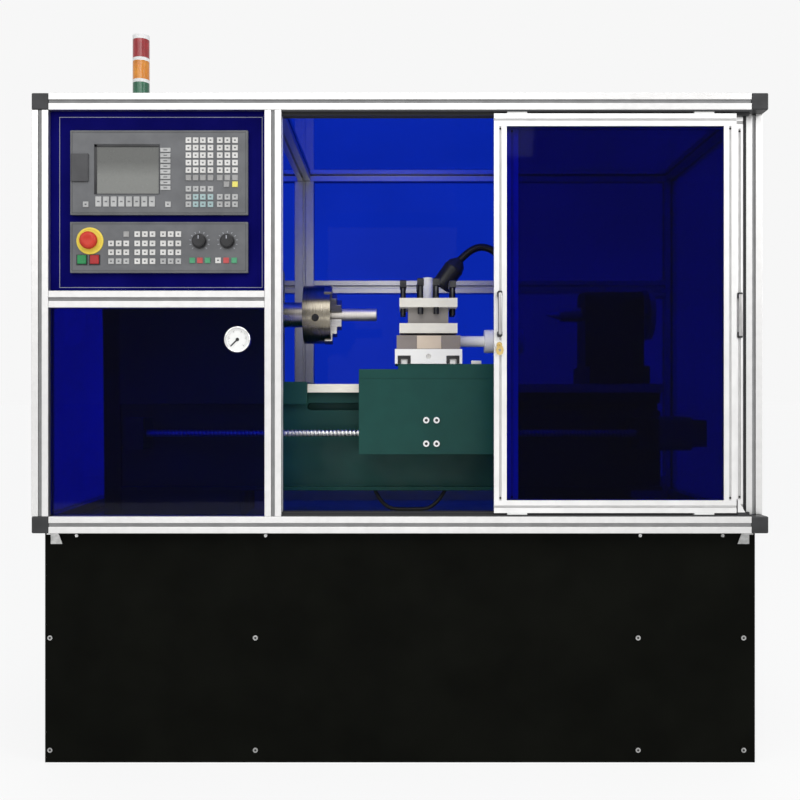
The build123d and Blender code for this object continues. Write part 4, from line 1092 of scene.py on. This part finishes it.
neck_line = [vertex.co.copy() for vertex in neck_mesh(0).vertices]
neck = bpy.data.objects.new("lamp_neck", neck_mesh(neck_radius))
bpy.context.collection.objects.link(neck)
rib_places = rib_moves(neck_line)
ribs = repeat(lamp_rib(), rib_places)
foot = aim(turned(foot_rings, 36), foot_place, (0, 0, 1))
head_axis = Vector((math.sin(head_tilt), 0, math.cos(head_tilt)))
head_middle = Vector((carriage_x + 0.071, 0.080, 1.231))
head_mouth = head_middle - head_axis * head_length / 2
head = aim(turned(head_rings, 40), head_mouth, head_axis)
lamp = fit(join([neck, ribs, foot, head]), "work_lamp_assembly", "carriage", lamp_black)
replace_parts(lamp, "work_lamp")
lens = aim(turned(lens_rings, 40), head_mouth, head_axis)
fit(lens, "work_lamp_lens", "carriage", lens_pale)
print("lamp made with", len(rib_places), "ribs")

# %% [markdown]
# The lengthwise drive is a ball screw: a steel bar with a round-bottomed helical groove. One pitch of its
# edge is drawn as a short line, and a Screw modifier turns it into the whole thread. Plain journals close
# both ends.

# %% Ball screw
screw_low, screw_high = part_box("z_ball_screw")
screw_radius = (screw_high.z - screw_low.z) / 2
screw_chamfer = 0.001
screw_end = screw_radius - screw_chamfer
screw_pitch = 0.010
journal = 0.055
left_overlap, right_overlap = 0.011, 0.001
thread_length = screw_high.x - screw_low.x - 2 * journal
thread_turns = int(thread_length / screw_pitch)
thread_steps = 20
thread_angle = math.radians(50)
groove_depth = 0.0020
groove_side = 0.6 * groove_depth
thread_edge = (
    (0, 0), (0, 0.0042), (-groove_side, 0.0050), (-groove_depth, 0.0064), (-groove_depth, 0.0078),
    (-groove_side, 0.0092), (0, screw_pitch),
)


def thread():
    mesh = bpy.data.meshes.new("thread_edge")
    points = [(screw_radius + dip, 0, rise) for dip, rise in thread_edge]
    mesh.from_pydata(points, [(i, i + 1) for i in range(len(points) - 1)], [])
    bar = bpy.data.objects.new("thread_edge", mesh)
    bpy.context.collection.objects.link(bar)
    wind = bar.modifiers.new("wind", "SCREW")
    wind.screw_offset = screw_pitch
    wind.iterations = thread_turns
    wind.steps = thread_steps
    wind.render_steps = thread_steps
    wind.use_merge_vertices = True
    select_only(bar)
    bpy.ops.object.modifier_apply(modifier="wind")
    bpy.ops.object.mode_set(mode="EDIT")
    bpy.ops.mesh.select_all(action="SELECT")
    bpy.ops.mesh.remove_doubles(threshold=0.00001)
    bpy.ops.mesh.normals_make_consistent(inside=False)
    bpy.ops.object.mode_set(mode="OBJECT")
    bpy.ops.object.shade_smooth_by_angle(angle=thread_angle)
    return bar


along = Vector((1, 0, 0))
left_start = Vector((screw_low.x, (screw_low.y + screw_high.y) / 2, (screw_low.z + screw_high.z) / 2))
wound = aim(thread(), left_start + along * journal, along)
left_rings = ((0, screw_end), (screw_chamfer, screw_radius), (journal + left_overlap, screw_radius))
left_end = aim(turned(left_rings, 40), left_start, along)
right_start = left_start + along * (journal + thread_turns * screw_pitch - right_overlap)
right_length = screw_high.x - right_start.x
right_rings = ((0, screw_radius), (right_length - screw_chamfer, screw_radius), (right_length, screw_end))
right_end = aim(turned(right_rings, 40), right_start, along)
screw = fit(join([wound, left_end, right_end]), "z_ball_screw_threaded", "z_screw", steel)
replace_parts(screw, "z_ball_screw")
print("ball screw with", thread_turns, "turns")

# %% [markdown]
# The slots of the aluminium profiles are closed with grey cover strips, pressed in a little below the
# face. Their dark grey is partly the strips' own colour and partly painted shade, the shade down in the
# slots, and it gives the frame its fine lines. A strip is one long block with rounded edges, laid along
# X, Y or Z on the middle of a face.

# %% Cover strips in the slots
half_width, half_depth = 0.870, 0.390
profile, half_profile = 0.040, 0.020
frame_low, frame_high = 0.555, 1.595
strip_half, strip_sink, strip_thick, strip_edge = 0.0037, 0.0030, 0.0020, 0.0005
inner_x, inner_y = half_width - profile, half_depth - profile
post_low, post_high = frame_low + profile, frame_high - profile
low_beam, high_beam = frame_low + half_profile, frame_high - half_profile
left_beam, rear_beam, rear_gap = 1.108, 1.224, 0.030
mid_post, right_post_y = -0.300, -0.330
edge_x, edge_y = half_width - half_profile, half_depth - half_profile


def strip(axis, start, end, face, out, place, half=strip_half, sink=strip_sink):
    """A strip from start to end along axis, sunk in a face, with its middle at place on the third axis.

    Out is 1, 2 or 3 where the face looks along +X, +Y or +Z, and negative where it looks the other way.
    """
    low, high = Vector((0, 0, 0)), Vector((0, 0, 0))
    out_axis, side = abs(out) - 1, math.copysign(1, out)
    third = ({0, 1, 2} - {axis, out_axis}).pop()
    near, far = face - side * sink, face - side * (sink + strip_thick)
    low[axis], high[axis] = start, end
    low[out_axis], high[out_axis] = min(near, far), max(near, far)
    low[third], high[third] = place - half, place + half
    return soft_block(low, high, strip_edge, 1)


def front_strips():
    pieces = [strip(0, -inner_x, inner_x, -half_depth, -2, z) for z in (low_beam, high_beam)]
    pieces.append(strip(0, -inner_x, mid_post - half_profile, -half_depth, -2, left_beam))
    pieces += [strip(2, post_low, post_high, -half_depth, -2, x) for x in (-edge_x, mid_post)]
    pieces.append(strip(2, post_low, post_high, right_post_y - half_profile, -2, edge_x))
    return pieces


def side_strips():
    pieces = []
    for side in (-1, 1):
        pieces += [strip(1, -inner_y, inner_y, side * half_width, side, z) for z in (low_beam, high_beam)]
        pieces.append(strip(2, post_low, post_high, side * half_width, side, edge_y))
    pieces.append(strip(2, post_low, post_high, -half_width, -1, -edge_y))
    pieces.append(strip(2, post_low, post_high, half_width, 1, right_post_y))
    return pieces


def rear_strips():
    face, out = half_depth, 2
    pieces = [strip(0, -inner_x, inner_x, face, out, z) for z in (low_beam, high_beam)]
    pieces.append(strip(0, -inner_x, mid_post - rear_gap, face, out, rear_beam))
    pieces.append(strip(0, mid_post + rear_gap, inner_x, face, out, rear_beam))
    pieces += [strip(2, post_low, post_high, face, out, x) for x in (-edge_x, mid_post, edge_x)]
    return pieces


def top_strips():
    pieces = [strip(0, -inner_x, inner_x, frame_high, 3, y) for y in (-edge_y, edge_y)]
    pieces += [strip(1, -inner_y, inner_y, frame_high, 3, x) for x in (-edge_x, mid_post, edge_x)]
    return pieces


# The grey of the strips is partly their own colour and partly painted shade for the depth of the slots.
slot_strip_and_shade_grey = moulded("slot_strip_grey_and_shade", (0.19, 0.19, 0.19), (0.23, 0.23, 0.23), gloss=(0.5, 0.6))
strips = front_strips() + side_strips() + rear_strips() + top_strips()
strip_count = len(strips)
fit(join(strips), "slot_cover_and_shade_strips", "enclosure", slot_strip_and_shade_grey)
print("cover strips:", strip_count)

# %% [markdown]
# Socket screws hold the cabinet panel and the apron. Each head of the frame is a plain disc, so a dark
# six-sided socket is set on it: a short turned piece with six sides and a sunk middle. Its near black is
# painted shade, the shade down in the hollow of the socket.

# %% Sockets of the screws
panel_screw_front, apron_screw_front = -0.354, -0.240
panel_columns, panel_rows = (-0.8392, -0.3468, 0.5708, 0.8239), (0.0305, 0.2997)
apron_columns, apron_rows = (0.0661, 0.0921), (0.760, 0.819)
panel_screws = [(x, panel_screw_front, z) for x in panel_columns for z in panel_rows]
apron_screws = [(x, apron_screw_front, z) for x in apron_columns for z in apron_rows]
# Near black for the dark screw heads of the doors, and painted shade in the hollows of the sockets.
screw_black_and_socket_shade = moulded("screw_black_and_socket_shade", (0.012, 0.012, 0.012), (0.02, 0.02, 0.02))


def sockets(places, reach):
    rings = ((0, reach), (0.0003, reach), (0.0003, 0.8 * reach), (0.0001, 0.7 * reach))
    socket = aim(turned(rings, 6), (0, 0, 0), to_front)
    return repeat(socket, [Matrix.Translation(place) for place in places])


fit(sockets(panel_screws, reach=0.0030), "panel_screw_sockets", "enclosure", screw_black_and_socket_shade)
fit(sockets(apron_screws, reach=0.0042), "apron_screw_sockets", "carriage", screw_black_and_socket_shade)
print("sockets:", len(panel_screws) + len(apron_screws))

# %% [markdown]
# On the front of the turret base there is a tan cover plate with a narrow edge. Below it, each notch of
# the cross slide is closed by a dark wiper with an opening for its rail.

# %% Turret cover plate and rail wipers
plate_left, plate_right = 0.0427, 0.1042
plate_low, plate_high = 0.9995, 1.0325
plate_front, base_front = -0.2330, -0.2305
cover_plate = soft_block(
    (plate_left, plate_front, plate_low), (plate_right, base_front, plate_high), edge=0.0008
)
fit(cover_plate, "turret_cover_plate", "cross_slide", turret_tan)
rail_places = (carriage_x - 0.0615, carriage_x + 0.0615)
wiper_front, wiper_back = -0.2330, -0.2292
notch_low, notch_high = 0.9618, 0.9815
notch_half, opening_half, opening_high = 0.0162, 0.0085, 0.9735
wiper_edge = 0.0006


def wiper(x):
    left, right = x - notch_half, x + notch_half
    top = soft_block((left, wiper_front, opening_high), (right, wiper_back, notch_high), wiper_edge)
    legs = [
        soft_block((x + start, wiper_front, notch_low), (x + end, wiper_back, opening_high), wiper_edge)
        for start, end in ((-notch_half, -opening_half), (opening_half, notch_half))
    ]
    return [top] + legs


wipers = [piece for x in rail_places for piece in wiper(x)]
fit(join(wipers), "rail_wipers", "cross_slide", knob_black)
print("cover plate and wipers made")

# %% [markdown]
# The door profiles have a narrow slot along the middle of their face, closed like the slots of the frame.
# A small dark screw near each corner holds the stile to the rail. The strips are laid as before, in the
# measure of the door.

# %% Strips and screws of the doors
door_places = {"front_door": (0.222, 0.795, -0.3875), "rear_door": (0.252, 0.825, -0.3645)}
door_strip_half, door_strip_sink = 0.0022, 0.0008
stile, half_stile = 0.030, 0.015
glide_clear = 0.0055
door_rail_low, door_rail_high = door_low.z + glide_clear, door_high.z - glide_clear
door_strip_end = 0.001
door_screw_inset = 0.036
door_screw_rings = ((0, 0.0026), (0.0007, 0.0025), (0.0010, 0.0020), (0.0010, 0.0013), (0.0005, 0.0011))
strip_pale = moulded("door_strip_pale", (0.44, 0.435, 0.425), (0.52, 0.515, 0.505), gloss=(0.5, 0.6))


def door_strips(left, right, face):
    form = {"half": door_strip_half, "sink": door_strip_sink}
    pieces = [
        strip(0, left + door_strip_end, right - door_strip_end, face, -2, z, **form)
        for z in (door_rail_low + half_stile, door_rail_high - half_stile)
    ]
    pieces += [
        strip(2, door_rail_low + stile, door_rail_high - stile, face, -2, x, **form)
        for x in (left + half_stile, right - half_stile)
    ]
    return pieces


def door_screws(left, right, face):
    head = aim(turned(door_screw_rings, 16), (0, 0, 0), to_front)
    places = [
        (x, face, z)
        for x in (left + half_stile, right - half_stile)
        for z in (door_rail_low + door_screw_inset, door_rail_high - door_screw_inset)
    ]
    return repeat(head, [Matrix.Translation(place) for place in places])


for body, place in door_places.items():
    fit(join(door_strips(*place)), body + "_strips", body, strip_pale)
    fit(door_screws(*place), body + "_screws", body, screw_black_and_socket_shade)
print("strips and screws on", len(door_places), "doors")

# %% [markdown]
# A rubber lip on the closing edge of the rear door meets the right post, and from the front it is a dark
# upright line. Its black is partly the rubber's own colour and partly painted shade, the shade in the gap
# between door and post. It wraps the edge of the stile by a millimetre, so one long block with rounded
# edges will do.

# %% Door lip
lip_left, lip_right = 0.8185, 0.8258
lip_front, lip_back = -0.3655, -0.3515
# The lip's black is partly its rubber and partly painted shade in the gap to the post.
lip_black_and_gap_shade = moulded("black_rubber_and_gap_shade", (0.010, 0.010, 0.011), (0.018, 0.018, 0.019), gloss=(0.55, 0.7))
lip = soft_block((lip_left, lip_front, door_rail_low), (lip_right, lip_back, door_rail_high), edge=0.0005)
fit(lip, "rear_door_lip", "rear_door", lip_black_and_gap_shade)
print("door lip made")

# %% [markdown]
# A chuck key turns the scroll through three pinions, each at the bottom of a hole in the chuck's rim. A
# pinion is a short turned plug, and its square socket is a four-sided turned piece with a sunk middle.
# The socket's near black is painted shade, the shade in its hollow.

# %% Key pinions of the chuck
chuck_low, chuck_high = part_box("chuck_body")
spindle_z = (chuck_low.z + chuck_high.z) / 2
chuck_radius = (chuck_high.z - chuck_low.z) / 2
pinion_share, pinion_depth = 0.47, 0.0138
pinion_x = chuck_low.x + pinion_share * (chuck_high.x - chuck_low.x)
pinion_floor = chuck_radius - pinion_depth
pinion_turns = (100, -20, 220)
pinion_rings = ((0, 0.0096), (0.0034, 0.0096), (0.0041, 0.0089), (0.0041, 0.0080))
square_rings = ((0.0035, 0.0072), (0.0046, 0.0072), (0.0046, 0.0064), (0.0014, 0.0062))


def key_pinion(degrees):
    turn = math.radians(degrees)
    outward = Vector((0, -math.sin(turn), math.cos(turn)))
    place = Vector((pinion_x, 0, spindle_z)) + outward * pinion_floor
    return aim(turned(pinion_rings, 24), place, outward), aim(turned(square_rings, 4), place, outward)


pinions = [key_pinion(degrees) for degrees in pinion_turns]
fit(join([plug for plug, _ in pinions]), "chuck_pinions", "spindle", black_oxide)
# The square sockets are near black: painted shade in their hollows.
fit(join([socket for _, socket in pinions]), "chuck_pinion_sockets", "spindle", screw_black_and_socket_shade)
print("pinions:", len(pinions))

# %% [markdown]
# The key in the door's lock has a folding bow that hangs down flat to the front. The plug of the lock is
# turned, the stub of the blade is a slim block, and the bow is a pierced plate: an eight-sided disc is
# inset, its middle is deleted, and the ring that is left is drawn out to its thickness and stretched in
# height.

# %% Door key
lock_x, lock_z = 0.234, 1.000
plug_back, stub_back, stub_front = -0.3880, -0.3940, -0.4056
lock_rings = ((0, 0.0065), (0.0060, 0.0065), (0.0065, 0.0060), (0.0065, 0.0030))
stub_half_width, stub_half_height = 0.0012, 0.0030
bow_radius, bow_hole, bow_thick, bow_stretch = 0.0094, 0.0034, 0.0020, 1.32
bow_drop = 0.0130


def key_bow():
    bpy.ops.object.select_all(action="DESELECT")
    bpy.ops.mesh.primitive_circle_add(vertices=8, radius=bow_radius, fill_type="NGON", location=(0, 0, 0))
    bow = bpy.context.object
    pierce(bow_radius - bow_hole, (0, 0, bow_thick))
    bpy.ops.transform.resize(value=(1, bow_stretch, 1), center_override=(0, 0, 0))
    bpy.ops.object.mode_set(mode="OBJECT")
    return aim(bow, (lock_x, stub_front + bow_thick, lock_z - bow_drop), to_front)


plug = aim(turned(lock_rings, 32), (lock_x, plug_back, lock_z), to_front)
stub = soft_block(
    (lock_x - stub_half_width, stub_front, lock_z - stub_half_height),
    (lock_x + stub_half_width, stub_back, lock_z + stub_half_height), edge=0.0003,
)
key = fit(join([plug, stub, key_bow()]), "door_key_folding", "key", brass)
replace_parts(key, "door_key")
print("door key made")
